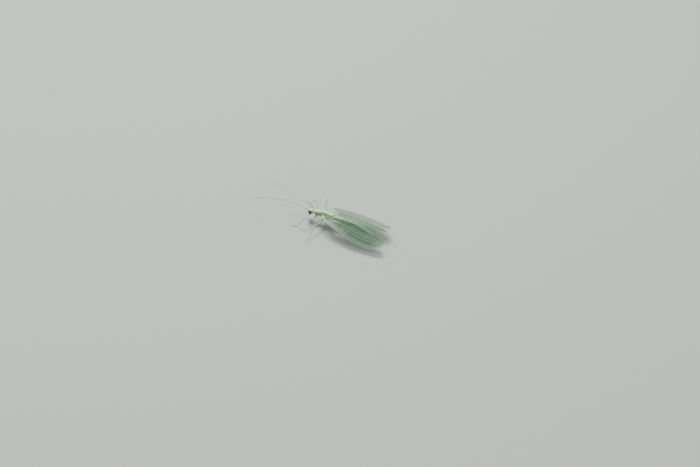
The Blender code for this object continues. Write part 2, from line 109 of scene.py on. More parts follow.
def setCamera():
    # The front of the head falls on its pixel, and a pixel is as wide there as "pixel" says
    around, roll = math.radians(studio["azimuth"]), math.radians(studio["roll"])
    back = fromAngles(studio["azimuth"], studio["elevation"])
    level = Vector((math.cos(around), math.sin(around), 0))
    upright = back.cross(level)
    right = level * math.cos(roll) + upright * math.sin(roll)
    up = upright * math.cos(roll) - level * math.sin(roll)
    (wide, high), (column, row) = studio["frameSize"], studio["headPixel"]
    head = Vector(studio["headPoint"]) + Vector(shift)
    target = (head + (right * (wide / 2 - column) - up * (high / 2 - row)) * studio["pixel"]) / perMetre
    distance = wide * studio["pixel"] / studio["sensor"] * studio["lens"] / perMetre
    lens = bpy.data.cameras.new("camera")
    lens.lens, lens.sensor_width = studio["lens"], studio["sensor"]
    lens.clip_start, lens.clip_end = studio["near"], studio["far"]
    turn = Matrix((right, up, back)).transposed().to_quaternion()
    scene.camera = setUp("camera", lens, target + back * distance, turn)


def setLights():
    for name, (around, above, far, size, watts, colour) in studio["lamps"].items():
        lamp = bpy.data.lights.new(name, "AREA")
        lamp.shape, lamp.size, lamp.energy, lamp.color = "DISK", size, watts, colour
        place = fromAngles(studio["azimuth"] + around, above) * far
        setUp(name, lamp, place, (Vector(studio["lampTarget"]) - place).to_track_quat("-Z", "Y"))
    world = bpy.data.worlds.new("softSky")
    world.use_nodes = True
    sky = world.node_tree.nodes["Background"].inputs
    sky["Color"].default_value, sky["Strength"].default_value = studio["skyColour"], studio["skyStrength"]
    scene.world = world


setCamera()
setLights()
print("camera and lights set")


# Shader nodes: an input is given as a value, or as the socket that feeds it

def feed(tree, socket, given):
    if isinstance(given, bpy.types.NodeSocket):
        tree.links.new(given, socket)
    else:
        socket.default_value = given


def addNode(tree, kind, inputs, **settings):
    node = tree.nodes.new(kind)
    for key, value in settings.items():
        setattr(node, key, value)
    for key, given in inputs.items():
        feed(tree, node.inputs[key], given)
    return node


def calculate(tree, operation, *terms):
    return addNode(tree, "ShaderNodeMath", dict(enumerate(terms)), operation=operation).outputs[0]


def mixColours(tree, share, first, second, way="MIX"):
    inputs = {0: share, 6: first, 7: second}
    return addNode(tree, "ShaderNodeMix", inputs, data_type="RGBA", blend_type=way).outputs[2]


def ramp(tree, source, low, high, start=0.0, end=1.0):
    inputs = {"Value": source, "From Min": low, "From Max": high, "To Min": start, "To Max": end}
    return addNode(tree, "ShaderNodeMapRange", inputs, interpolation_type="SMOOTHSTEP").outputs["Result"]


def noise(tree, place, scale, detail, roughness=0.5, distortion=0.0):
    inputs = {"Vector": place, "Scale": scale, "Detail": detail, "Roughness": roughness, "Distortion": distortion}
    return addNode(tree, "ShaderNodeTexNoise", inputs).outputs["Fac"]


def cellNet(tree, place, scale, feature):
    inputs = {"Vector": place, "Scale": scale}
    return addNode(tree, "ShaderNodeTexVoronoi", inputs, feature=feature).outputs["Distance"]


def newGroup(name, inputs, outputs):
    group = bpy.data.node_groups.new(name, "ShaderNodeTree")
    for label, kind, *start in inputs:
        socket = group.interface.new_socket(label, in_out="INPUT", socket_type="NodeSocket" + kind)
        if start:
            socket.default_value = start[0]
    for label, kind in outputs:
        group.interface.new_socket(label, in_out="OUTPUT", socket_type="NodeSocket" + kind)
    return group, group.nodes.new("NodeGroupInput").outputs, group.nodes.new("NodeGroupOutput").inputs


effects = {
    "swellingScale": 0.22, "pitEdge": 0.22,  # of a cell
    "patchEdge": (0.42, 0.66),
    "granuleScale": 7.0, "granuleEdge": (0.42, 0.18), "granuleColour": (0.55, 0.58, 0.36, 1),
}


def makeGrainGroup():
    # Fine relief of cuticle: low swellings and a net of tiny cells
    tree, given, made = newGroup("cuticleGrain", [
        ("Vector", "Vector"), ("Cell Size", "Float", 0.00004), ("Swelling", "Float", 0.5),
        ("Cells", "Float", 0.5)], [("Height", "Float"), ("Pits", "Float")])
    scale = calculate(tree, "DIVIDE", 1.0, given["Cell Size"])
    pits = ramp(tree, cellNet(tree, given["Vector"], scale, "DISTANCE_TO_EDGE"), 0.0, effects["pitEdge"])
    broad = noise(tree, given["Vector"], calculate(tree, "MULTIPLY", scale, effects["swellingScale"]), 3.0, 0.55)
    cells = calculate(tree, "MULTIPLY", pits, given["Cells"])
    feed(tree, made["Height"], calculate(tree, "MULTIPLY_ADD", broad, given["Swelling"], cells))
    feed(tree, made["Pits"], pits)
    return tree


def makeMottleGroup():
    # Uneven colour: cloudy patches towards a second colour and small pale granules under the skin
    tree, given, made = newGroup("mottle", [
        ("Vector", "Vector"), ("Color", "Color", (0.5, 0.5, 0.5, 1)),
        ("Second Color", "Color", (0.4, 0.5, 0.2, 1)), ("Patch Size", "Float", 0.0003),
        ("Amount", "Float", 0.4), ("Granules", "Float", 0.2)], [("Color", "Color")])
    scale = calculate(tree, "DIVIDE", 1.0, given["Patch Size"])
    patches = ramp(tree, noise(tree, given["Vector"], scale, 4.0, 0.6), *effects["patchEdge"])
    share = calculate(tree, "MULTIPLY", patches, given["Amount"])
    mixed = mixColours(tree, share, given["Color"], given["Second Color"])
    finer = calculate(tree, "MULTIPLY", scale, effects["granuleScale"])
    spots = ramp(tree, cellNet(tree, given["Vector"], finer, "F1"), *effects["granuleEdge"])
    spotShare = calculate(tree, "MULTIPLY", spots, given["Granules"])
    feed(tree, made["Color"], mixColours(tree, spotShare, mixed, effects["granuleColour"], "SCREEN"))
    return tree


grainGroup = makeGrainGroup()
mottleGroup = makeMottleGroup()


# Materials

def startMaterial(name, **sockets):
    material = bpy.data.materials.new(name)
    material.use_nodes = True
    tree = material.node_tree
    shader = tree.nodes["Principled BSDF"].inputs
    for key, value in sockets.items():
        shader[key].default_value = value
    return material, tree, shader, addNode(tree, "ShaderNodeTexCoord", {}).outputs["Object"]


def relief(tree, shader, height, depth):
    bump = addNode(tree, "ShaderNodeBump", {"Strength": 1.0, "Distance": depth, "Height": height})
    feed(tree, shader["Normal"], bump.outputs["Normal"])


def painted(tree):
    return addNode(tree, "ShaderNodeVertexColor", {}, layer_name="tint").outputs["Color"]


def facing(tree, blend):
    return addNode(tree, "ShaderNodeLayerWeight", {"Blend": blend}).outputs["Facing"]


finishes = {
    # patch and cell sizes and depth in metres, roughness in the pits and on the ridges;
    # where there is no colour, it is painted on the mesh
    "skinCuticle": {
        "second": (0.20, 0.42, 0.13, 1), "patch": 0.00030, "amount": 0.22, "granules": 0.15,
        "cell": 0.000026, "swelling": 0.9, "cells": 0.22, "depth": 0.000010, "rough": (0.52, 0.34),
        "sockets": {"Subsurface Weight": 0.25, "Subsurface Scale": 0.0002,
                    "Subsurface Radius": (1.0, 1.0, 0.35), "Coat Weight": 0.22, "Coat Roughness": 0.22}},
    "feelerCuticle": {
        "colour": (0.50, 0.42, 0.17, 1), "second": (0.20, 0.14, 0.04, 1), "patch": 0.00025, "amount": 0.55,
        "granules": 0.05, "cell": 0.000016, "swelling": 0.7, "cells": 0.35, "depth": 0.000004,
        "rough": (0.60, 0.42), "sockets": {"Coat Weight": 0.1}},
    "clawHorn": {
        "colour": (0.20, 0.075, 0.018, 1), "second": (0.05, 0.020, 0.006, 1), "patch": 0.00010, "amount": 0.7,
        "granules": 0.0, "cell": 0.000020, "swelling": 0.6, "cells": 0.2, "depth": 0.000003,
        "rough": (0.34, 0.18), "sockets": {"Coat Weight": 0.4, "Coat Roughness": 0.12}},
    "veinCuticle": {
        "second": (0.13, 0.27, 0.08, 1), "patch": 0.00060, "amount": 0.40, "granules": 0.10,
        "cell": 0.000018, "swelling": 0.6, "cells": 0.4, "depth": 0.000004, "rough": (0.52, 0.36),
        "sockets": {"Coat Weight": 0.5, "Coat Roughness": 0.18}},
    "paleHair": {
        "colour": (0.72, 0.72, 0.50, 1), "second": (0.32, 0.30, 0.14, 1), "patch": 0.00080, "amount": 0.5,
        "granules": 0.0, "cell": 0.000020, "swelling": 0.4, "cells": 0.3, "depth": 0.000002,
        "rough": (0.50, 0.34), "sockets": {}},
}


def makeCuticle(name):
    look = finishes[name]
    material, tree, shader, place = startMaterial(name, **look["sockets"])
    colour = addNode(tree, "ShaderNodeGroup", {
        "Vector": place, "Color": look.get("colour") or painted(tree), "Second Color": look["second"],
        "Patch Size": look["patch"], "Amount": look["amount"], "Granules": look["granules"]}, node_tree=mottleGroup)
    grain = addNode(tree, "ShaderNodeGroup", {
        "Vector": place, "Cell Size": look["cell"], "Swelling": look["swelling"], "Cells": look["cells"]},
        node_tree=grainGroup)
    feed(tree, shader["Base Color"], colour.outputs["Color"])
    feed(tree, shader["Roughness"], ramp(tree, grain.outputs["Pits"], 0.0, 1.0, *look["rough"]))
    relief(tree, shader, grain.outputs["Height"], look["depth"])
    return material


skinCuticle, feelerCuticle, clawHorn, veinCuticle, paleHair = (makeCuticle(name) for name in finishes)

eyeFinish = {
    "bronze": (0.30, 0.11, 0.015, 1), "bronzeEdge": (0.45, 0.98), "bronzeShare": 0.45,
    "green": (0.014, 0.045, 0.010, 1), "greenEdge": (0.45, 0.65), "greenShare": 0.7,
    "bandScale": 2600.0, "rough": (0.22, 0.36), "fineScale": 60000.0, "depth": 0.000001,
    "sockets": {"Metallic": 0.30, "Coat Weight": 0.55, "Coat Roughness": 0.08},
}


def makeEyeFinish():
    # Dark lustre with green bands, bronze where it is looked along
    look = eyeFinish
    material, tree, shader, place = startMaterial("eyeLustre", **look["sockets"])
    bands = noise(tree, place, look["bandScale"], 2.0)
    share = ramp(tree, bands, *look["greenEdge"], 0.0, look["greenShare"])
    green = mixColours(tree, share, painted(tree), look["green"])
    along = ramp(tree, facing(tree, 0.35), *look["bronzeEdge"], 0.0, look["bronzeShare"])
    feed(tree, shader["Base Color"], mixColours(tree, along, green, look["bronze"]))
    feed(tree, shader["Roughness"], ramp(tree, bands, 0.3, 0.7, *look["rough"]))
    relief(tree, shader, noise(tree, place, look["fineScale"], 1.0), look["depth"])
    return material


membranes = {
    "cloudScale": 520.0, "cloudEdge": (0.38, 0.64), "pleatScale": 5200.0, "rough": (0.10, 0.24),
    "depth": 0.00001,
    "sockets": {"Specular IOR Level": 0.85, "IOR": 1.5, "Thin Film Thickness": 270.0, "Thin Film IOR": 1.56},
    # two colours, a faint green of the membrane darkened as painted shade, and how much is seen face on and looked
    # along
    "foreMembrane": ((0.075, 0.180, 0.080, 1), (0.16, 0.24, 0.19, 1), (0.27, 0.58)),
    "hindMembrane": ((0.085, 0.190, 0.100, 1), (0.16, 0.24, 0.21, 1), (0.19, 0.48)),
}


def makeMembraneFinish(name):
    first, second, seen = membranes[name]
    material, tree, shader, place = startMaterial(name, **membranes["sockets"])
    cloud = noise(tree, place, membranes["cloudScale"], 3.0, 0.55, 0.6)
    patches = ramp(tree, cloud, *membranes["cloudEdge"])
    feed(tree, shader["Base Color"], mixColours(tree, patches, first, second))
    feed(tree, shader["Alpha"], ramp(tree, facing(tree, 0.4), 0.0, 1.0, *seen))
    pleats = noise(tree, place, membranes["pleatScale"], 2.0, 0.6)
    feed(tree, shader["Roughness"], ramp(tree, pleats, 0.3, 0.7, *membranes["rough"]))
    relief(tree, shader, pleats, membranes["depth"])
    return material


eyeLustre = makeEyeFinish()
foreMembrane, hindMembrane = makeMembraneFinish("foreMembrane"), makeMembraneFinish("hindMembrane")


def makeFloor():
    material, tree, shader, place = startMaterial("floorPaper", Roughness=0.7)
    tones = [(*(c * part for c in studio["floorColour"]), 1)
             for part in (1 - studio["floorUneven"], 1 + studio["floorUneven"])]
    feed(tree, shader["Base Color"], mixColours(tree, noise(tree, place, 900.0, 3.0), *tones))
    half, count = studio["floorSize"] / 2, studio["floorCorners"]
    turns = [2 * math.pi * k / count for k in range(count)]
    mesh = bpy.data.meshes.new("floor")
    mesh.from_pydata([(half * math.cos(a), half * math.sin(a), 0.0) for a in turns], [], [tuple(range(count))])
    mesh.materials.append(material)
    linked("floor", mesh)


makeFloor()
print("materials made")


# Curves and shapes. A shape is (points, faces)

def hump(value, centre, width):
    return np.exp(-((value - centre) / width) ** 2)


def fade(value, start, end):
    share = np.clip((value - start) / (end - start), 0.0, 1.0)
    return share * share * (3 - 2 * share)


def power(value, exponent):
    return np.copysign(np.abs(value) ** exponent, value)


def unit(vectors):
    return vectors / np.maximum(np.linalg.norm(vectors, axis=-1, keepdims=True), 1e-12)


def spread(values, count, places=None):
    # Values at even steps along straight lines through a few of them
    places = np.linspace(0, 1, len(values)) if places is None else places
    return np.interp(np.linspace(0, 1, count), places, values)


def through(stations, at):
    # Values at places along the smooth curve through rows of (place, value, ...)
    rows = np.array(stations, float)
    places, values = rows[:, 0], rows[:, 1:]
    last = len(places) - 1
    at = np.clip(np.asarray(at, float), places[0], places[-1])
    i = np.clip(np.searchsorted(places, at, side="right") - 1, 0, last - 1)
    order = np.arange(last + 1)
    before, after = np.maximum(order - 1, 0), np.minimum(order + 1, last)
    slopes = (values[after] - values[before]) / (places[after] - places[before])[:, None]
    step = (places[i + 1] - places[i])[..., None]
    u = (at - places[i])[..., None] / step
    found = ((2 * u**3 - 3 * u**2 + 1) * values[i] + (u**3 - 2 * u**2 + u) * slopes[i] * step
             + (3 * u**2 - 2 * u**3) * values[i + 1] + (u**3 - u**2) * slopes[i + 1] * step)
    return found[..., 0] if found.shape[-1] == 1 else found


def lengthAlong(points):
    return np.concatenate([[0], np.cumsum(np.linalg.norm(np.diff(points, axis=0), axis=1))])


def smoothPath(points, count):
    # The points of a path spread evenly on a smooth curve through them
    points = np.asarray(points, float)
    reach = lengthAlong(points)
    return through(np.column_stack([reach, points]), np.linspace(0, reach[-1], count))


def joined(shapes):
    points, faces, start = [], [], 0
    for somePoints, someFaces in shapes:
        points.append(np.asarray(somePoints, float))
        faces += [tuple(start + i for i in face) for face in someFaces]
        start += len(somePoints)
    return np.concatenate(points), faces


def mirrored(shape):
    points, faces = shape
    return np.asarray(points) * (1, -1, 1), [tuple(face[::-1]) for face in faces]


def bothSides(shape):
    return [shape, mirrored(shape)]


def closed(rings, first, last, turned=False):
    # Closed surface over rings of equal count, with a point at each end
    rings = np.asarray(rings, float)
    count, sides = rings.shape[:2]
    final, ends = (count - 1) * sides, count * sides
    faces = []
    for i in range(count - 1):
        for j in range(sides):
            a, b = i * sides + j, i * sides + (j + 1) % sides
            faces.append((a, b, b + sides, a + sides) if turned else (a, a + sides, b + sides, b))
    for j in range(sides):
        k = (j + 1) % sides
        caps = (j, k, ends), (final + k, final + j, ends + 1)
        faces += [cap[::-1] for cap in caps] if turned else caps
    return np.concatenate([rings.reshape(-1, 3), [first, last]]), faces


def loft(rings):
    return closed(rings, np.mean(rings[0], axis=0), np.mean(rings[-1], axis=0))


def sweep(path, radii, sides, squash=1.0):
    # Tube along a path, its rings kept from turning, with blunt points at its ends
    path = np.asarray(path, float)
    radii = np.broadcast_to(np.asarray(radii, float), (len(path),))
    ahead = unit(np.gradient(path, axis=0))
    side = unit(np.cross(ahead[0], (0.0, 0.0, 1.0) if abs(ahead[0][2]) < 0.9 else (0.0, 1.0, 0.0)))
    turns = np.arange(sides) * 2 * math.pi / sides
    rings = []
    for centre, heading, radius in zip(path, ahead, radii):
        side = unit(side - heading * side.dot(heading))
        rise = np.cross(heading, side)
        ring = np.outer(np.cos(turns), side) + squash * np.outer(np.sin(turns), rise)
        rings.append(centre + radius * ring)
    point = 0.3  # of the end's radius
    return closed(rings, path[0] - ahead[0] * radii[0] * point, path[-1] + ahead[-1] * radii[-1] * point, True)


def oval(centre, radii, turn=None, rings=14, sides=22):
    # Ellipsoid with its own axes turned by a matrix
    down = (np.arange(1, rings) * math.pi / rings)[:, None]
    turns = np.arange(sides) * 2 * math.pi / sides
    ball = np.stack([np.sin(down) * np.cos(turns), np.sin(down) * np.sin(turns), np.cos(down) + 0 * turns], axis=-1)
    points, faces = closed(ball, (0, 0, 1), (0, 0, -1))
    turn = np.eye(3) if turn is None else np.array(turn.to_3x3())
    return (points * radii) @ turn.T + np.asarray(centre, float), faces


def readAll(items, key, kind, width):
    values = np.empty(len(items) * width, kind)
    items.foreach_get(key, values)
    return values


def neighbourMean(values, edges):
    count = len(values)
    near = np.bincount(edges.ravel(), minlength=count)[:, None]
    flat = values.reshape(count, -1)
    total = np.stack([np.bincount(edges[:, 0], flat[edges[:, 1], k], count)
                      + np.bincount(edges[:, 1], flat[edges[:, 0], k], count)
                      for k in range(flat.shape[1])], axis=1)
    return (total / np.maximum(near, 1)).reshape(values.shape)


def weld(shapes, voxel, smoothing):
    # One skin over all the shapes, as points, quads and neighbour pairs
    points, faces = joined(shapes)
    mesh = bpy.data.meshes.new("parts")
    mesh.from_pydata(points.tolist(), [], faces)
    holder = linked("parts", mesh)
    remesh = holder.modifiers.new("skin", "REMESH")
    remesh.mode, remesh.voxel_size, remesh.adaptivity = "VOXEL", voxel, 0.0
    graph = bpy.context.evaluated_depsgraph_get()
    skin = bpy.data.meshes.new_from_object(holder.evaluated_get(graph))
    points = readAll(skin.vertices, "co", float, 3).reshape(-1, 3)
    quads = readAll(skin.loops, "vertex_index", np.int32, 1).reshape(-1, 4)
    edges = readAll(skin.edges, "vertices", np.int32, 2).reshape(-1, 2)
    bpy.data.objects.remove(holder)
    bpy.data.meshes.remove(skin)
    for k in range(smoothing):
        for step in (0.5, -0.52):  # each pair of passes smooths without shrinking
            points = points + (neighbourMean(points, edges) - points) * step
    return points, quads, edges


def quadNormals(points, quads):
    corners = points[quads]
    across = np.cross(corners[:, 2] - corners[:, 0], corners[:, 3] - corners[:, 1])
    normals = np.stack([sum(np.bincount(quads[:, corner], across[:, k], len(points)) for corner in range(4))
                        for k in range(3)], axis=1)
    return unit(normals)


def addPiece(name, shape, material, slot, *nodes, tints=None):
    # A piece on the root body, with the nodes that it replaces and the colours painted on it
    points, faces = shape
    mesh = bpy.data.meshes.new(name)
    mesh.from_pydata(((points + shift) / perMetre).tolist(), [], faces)
    mesh.materials.append(material)
    mesh.shade_smooth()
    if tints is not None:
        layer = mesh.color_attributes.new("tint", "FLOAT_COLOR", "POINT")
        full = np.column_stack([tints, np.ones(len(tints))])
        layer.data.foreach_set("color", full.astype(np.float32).ravel())
    piece = linked(name, mesh)
    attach(piece, "root")
    if nodes:
        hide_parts(*nodes)
    return piece


# Trunk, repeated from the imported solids

trunk = {
    # x, half width, top and bottom of the thorax
    "thorax": ((1.20, .42, 2.44, 1.70), (1.75, .52, 2.68, 1.68), (2.20, .54, 2.80, 1.66),
               (2.70, .74, 3.02, 1.56), (3.20, .84, 3.20, 1.50), (3.75, .78, 3.12, 1.54),
               (4.20, .74, 3.08, 1.62), (4.80, .60, 2.94, 1.78), (5.20, .52, 2.88, 1.86)),
    "thoraxEnds": (1.30, 5.16), "thoraxFill": 0.9, "squareness": 2.3, "gap": 0.30,
    "shoulder": 0.05, "backDip": 0.04,  # shares of the size by which it swells and sinks along its back
    "lobes": (  # centre and radii of what bulges from the thorax, on the right side: plates, then wing hinges
        ((1.66, 0.20, 2.24), (0.44, 0.32, 0.42)), ((2.02, 0.26, 2.30), (0.22, 0.30, 0.42)),
        ((2.62, 0.20, 2.72), (0.26, 0.25, 0.27)), ((3.00, 0.38, 2.74), (0.46, 0.36, 0.40)),
        ((3.58, 0.10, 2.86), (0.24, 0.22, 0.25)), ((4.12, 0.34, 2.66), (0.36, 0.32, 0.36)),
        ((4.58, 0.10, 2.70), (0.22, 0.20, 0.22)), ((2.84, 0.50, 2.16), (0.30, 0.22, 0.56)),
        ((3.34, 0.54, 2.20), (0.34, 0.24, 0.58)), ((4.00, 0.48, 2.22), (0.30, 0.22, 0.50)),
        ((4.44, 0.44, 2.26), (0.30, 0.20, 0.46)),
        ((3.05, 0.78, 2.70), (0.26, 0.26, 0.12)), ((2.84, 0.90, 2.67), (0.11, 0.11, 0.09)),
        ((4.39, 0.70, 2.24), (0.22, 0.24, 0.11))),
    "neck": ((0.80, 0, 2.02), (1.10, 0, 2.06), (1.40, 0, 2.10)), "neckRadius": 0.30,
    # share of the abdomen's length and its half width
    "abdomen": ((0, .46), (.10, .56), (.28, .64), (.52, .67), (.74, .64), (.88, .50), (.96, .36), (1, .24)),
    "abdomenFill": 0.985, "abdomenStart": 5.10, "abdomenLength": 7.45, "abdomenTop": 2.38,
    "droop": 1.20, "swing": -0.15, "segments": 9,
    "segmentRings": (0.0, 0.03, 0.07, 0.14, 0.25, 0.4, 0.55, 0.7, 0.82, 0.90, 0.95, 0.98),  # shares of a segment
    # shares of the radius: bulge of a plate, all of it set in, its rings, side fold and belly, and its height
    "bulge": 0.035, "inset": 0.02, "ringDepth": 0.085, "foldDepth": 0.07, "bellyWave": 0.02, "tall": 1.05,
    # pairs of lobes at the tail: share of the abdomen's length, offset from its middle, radii
    "tailLobes": ((0.968, (0.0, 0.115, 0.04), (0.21, 0.125, 0.16)),
                  (0.958, (0.0, 0.07, -0.14), (0.20, 0.09, 0.10))),
    "tailLean": 24.0, "tailTaper": 0.45,
}


def thoraxPoint(x, turn, size=1.0):
    width, top, bottom = np.moveaxis(through(trunk["thorax"], x), -1, 0)
    reach = 2 / trunk["squareness"]
    lobe = 1.0 + trunk["shoulder"] * hump(np.abs(turn), 0.55, 0.28) - trunk["backDip"] * hump(turn, 0, 0.2)
    tall = size * lobe * (top - bottom) / 2
    return np.stack([x + 0 * turn, size * width * power(np.sin(turn), reach),
                     (top + bottom) / 2 + tall * power(np.cos(turn), reach)], axis=-1)


def thoraxShapes():
    turns = np.arange(40) * 2 * math.pi / 40 - math.pi
    shapes = [loft([thoraxPoint(np.full(40, x), turns, trunk["thoraxFill"])
                    for x in np.linspace(*trunk["thoraxEnds"], 60)])]
    for centre, radii in trunk["lobes"]:
        shapes += bothSides(oval(centre, radii))
    return shapes + [sweep(smoothPath(trunk["neck"], 8), trunk["neckRadius"], 18, 1.1)]


def abdomenAxis(share):
    share = np.maximum(share, 0.0)
    return np.stack([trunk["abdomenStart"] + trunk["abdomenLength"] * share, trunk["swing"] * share**2.2,
                     trunk["abdomenTop"] - trunk["droop"] * share**1.9], axis=-1)


def abdomenShapes():
    # Plates that bulge between deep rings, with a fold along each side, and the lobes at its end
    count, turns = trunk["segments"], np.arange(48) * 2 * math.pi / 48
    rings = []
    for share in [(k + part) / count for k in range(count) for part in trunk["segmentRings"]] + [0.999]:
        ahead = abdomenAxis(share + 0.01) - abdomenAxis(share - 0.01)
        side = unit(np.cross(ahead, (0, 0, 1.0)))
        up = unit(np.cross(side, ahead))
        part = share * count % 1.0
        bulge = trunk["bulge"] * math.sin(math.pi * min(part / 0.9, 1.0)) ** 0.7 - trunk["inset"]
        ring = -trunk["ringDepth"] * (hump(part, 1.0, 0.035) + hump(part, 0, 0.045))
        fold = -trunk["foldDepth"] * hump(np.abs(turns - math.pi), 1.25, 0.10) * math.sin(math.pi * part) ** 0.3
        belly = trunk["bellyWave"] * np.cos(turns - math.pi) * math.cos(4 * math.pi * part)
        half = through(trunk["abdomen"], share) * trunk["abdomenFill"]
        radius = half * (1 - trunk["tailTaper"] * fade(share, 0.955, 1.0)) * (1 + bulge + ring + fold + belly)
        rings.append(abdomenAxis(share) - np.outer(radius * np.sin(turns), side)
                     + np.outer(trunk["tall"] * radius * np.cos(turns), up))
    lean = Matrix.Rotation(math.radians(trunk["tailLean"]), 4, "Y")
    shapes = [loft(rings)]
    for share, offset, radii in trunk["tailLobes"]:
        shapes += bothSides(oval(abdomenAxis(share) + offset, radii, lean))
    return shapes


# Head, with its mouthparts

face = {
    "nod": -10.0,  # degrees
    "capsule": ((0.57, 0, 2.00), (0.47, 0.46, 0.58)), "vertex": ((0.66, 0, 2.36), (0.32, 0.34, 0.22)),
    "frons": ((0.30, 0, 1.86), (0.24, 0.26, 0.34)),
    "cheek": ((0.52, 0.30, 1.66), (0.26, 0.18, 0.26)), "orbit": ((0.50, 0.44, 2.12), (0.385, 0.12, 0.435)),
    "clypeus": ((0.39, 0, 1.46), (0.21, 0.26, 0.20)), "labrum": ((0.36, 0, 1.27), (0.14, 0.19, 0.13)),
    "socket": ((0.13, 0.15, 2.14), (0.09, 0.10, 0.10)),
    "eyeCentre": (0.50, 0.49, 2.12), "eyeRadii": (0.345, 0.36, 0.40),
    "jaw": ((0.50, 0.26, 1.38), (0.40, 0.23, 1.24), (0.34, 0.13, 1.15), (0.31, 0.03, 1.13)),
    "jawRadii": (0.075, 0.065, 0.045, 0.018),
    # route, radii, sides and lengths of the joints of each palp
    "longPalp": (((0.52, 0.25, 1.40), (0.46, 0.33, 1.27), (0.36, 0.38, 1.14), (0.26, 0.38, 1.00),
                  (0.22, 0.34, 0.88)), (0.060, 0.058, 0.055, 0.050, 0.030), 14, (0.8, 0.8, 1.2, 1.1, 1.5)),
    "shortPalp": (((0.58, 0.12, 1.32), (0.54, 0.15, 1.18), (0.48, 0.17, 1.06), (0.44, 0.16, 0.96)),
                  (0.050, 0.048, 0.030), 12, (0.8, 1.0, 1.2)),
    "palpWaist": 0.72,
}
nodTurn = Matrix.Rotation(math.radians(face["nod"]), 4, "Y")


def headShapes():
    shapes = [oval(*face[part], nodTurn, 20, 30) for part in ("capsule", "vertex", "frons", "clypeus", "labrum")]
    for part in ("cheek", "orbit", "socket"):
        shapes += bothSides(oval(*face[part], nodTurn))
    return shapes


# Legs

stance = {
    "tarsusHeight": 0.20, "stub": 0.16, "ankleHeight": 0.13, "toeHeight": 0.068, "footShare": 0.90,
    "rootDepth": 0.25, "rootReach": 0.10,  # how far the coxa begins inside the thorax and runs straight out of it
    # place along the thorax, degrees round it, then (degrees out, degrees up, length) of each part
    "front": {"station": 1.72, "round": 128, "coxa": (70, -14, .42), "femur": (44, 24, 1.90),
              "tibia": (24, 2.45), "tarsus": (16, 1.15), "step": 7},
    "middle": {"station": 3.05, "round": 130, "coxa": (80, -14, .42), "femur": (70, 20, 1.95),
               "tibia": (84, 2.60), "tarsus": (98, 1.15), "step": -6},
    "hind": {"station": 4.35, "round": 138, "coxa": (118, -42, .46), "femur": (161, -5, 1.85),
             "tibia": (172, 3.20), "tarsus": (177, 1.25), "step": 4},
    # radii, and the places along the part where they are
    "coxaRadii": ((0.20, 0.21, 0.16, 0.115), (0, .35, .7, 1)),
    "femurRadii": ((0.100, 0.085, 0.112, 0.108, 0.082, 0.070), (0, .12, .4, .7, .93, 1.0)),
    "tibiaRadii": ((0.072, 0.078, 0.064, 0.070, 0.074, 0.066), (0, .05, .15, .6, .93, 1)), "tibiaBow": 0.05,
    "tarsomeres": (0.38, 0.19, 0.14, 0.12, 0.17), "tarsusRadius": 0.056, "tarsusArch": 0.008,
    "tarsomereRadii": (0.70, 0.74, 0.80, 0.88, 0.98, 1.04, 0.90),  # of the tarsus radius
}
legNames = [(which, side) for which in ("front", "middle", "hind") for side in (-1, 1)]


def direction(out, above, side):
    a, b = math.radians(out), math.radians(above)
    return np.array((-math.cos(a) * math.cos(b), side * math.sin(a) * math.cos(b), math.sin(b)))


def legJoints(which, side):
    # Points where the leg bends: inside the thorax, its wall, stub, trochanter, knee, ankle and toe
    leg = stance[which]
    step = leg["step"] if side > 0 else 0
    station = np.array(leg["station"], float)
    skin = thoraxPoint(station, np.array(math.radians(leg["round"]) * side))
    top, bottom = through(trunk["thorax"], station)[1:]
    outward = unit(skin - (leg["station"], 0, (top + bottom) / 2))
    stub = skin + outward * (trunk["gap"] + stance["stub"])
    out, above, length = leg["coxa"]
    trochanter = stub + direction(out, above, side) * length
    out, above, length = leg["femur"]
    knee = trochanter + direction(out + step, above, side) * length
    out, length = leg["tibia"]
    fall = math.degrees(math.asin((knee[2] - stance["tarsusHeight"]) / length))
    ankle = knee + direction(out + step, -fall, side) * length
    out, length = leg["tarsus"]
    toe = ankle + direction(out + step, 0, side) * length * stance["footShare"]
    ankle[2], toe[2] = stance["ankleHeight"], stance["toeHeight"]
    inside, wall = skin - outward * stance["rootDepth"], skin + outward * stance["rootReach"]
    return inside, wall, stub, trochanter, knee, ankle, toe


def legParts(which, side):
    # (path, radii) of coxa, femur, tibia and the five tarsomeres
    inside, wall, stub, trochanter, knee, ankle, toe = legJoints(which, side)
    rise = np.array((0, 0, 1.0))
    bow = np.outer(np.sin(np.linspace(0, math.pi, 16)), rise * stance["tibiaBow"])
    femur = trochanter + np.outer(np.linspace(-0.02, 1.0, 16), knee - trochanter)
    tibia = knee + np.outer(np.linspace(-0.01, 1.0, 16), ankle - knee) + bow

    def radiiOf(part, count):
        radii, places = stance[part]
        return spread(radii, count, places)

    parts = [(smoothPath((inside, wall, stub, trochanter), 18), radiiOf("coxaRadii", 18)),
             (femur, radiiOf("femurRadii", 16)), (tibia, radiiOf("tibiaRadii", 16))]
    shares = np.concatenate([[0], np.cumsum(stance["tarsomeres"])])
    arch = np.outer(np.sin(math.pi * np.linspace(0, 1, 7)), rise * stance["tarsusArch"])
    for start, end in zip(shares[:-1], shares[1:]):
        radius = stance["tarsusRadius"] * (1 - 0.08 * start)
        parts.append((ankle + np.outer(np.linspace(start, end, 7), toe - ankle) + arch,
                      radius * np.array(stance["tarsomereRadii"])))
    return parts


def legShapes():
    return [sweep(path, radii, 16) for which, side in legNames for path, radii in legParts(which, side)]


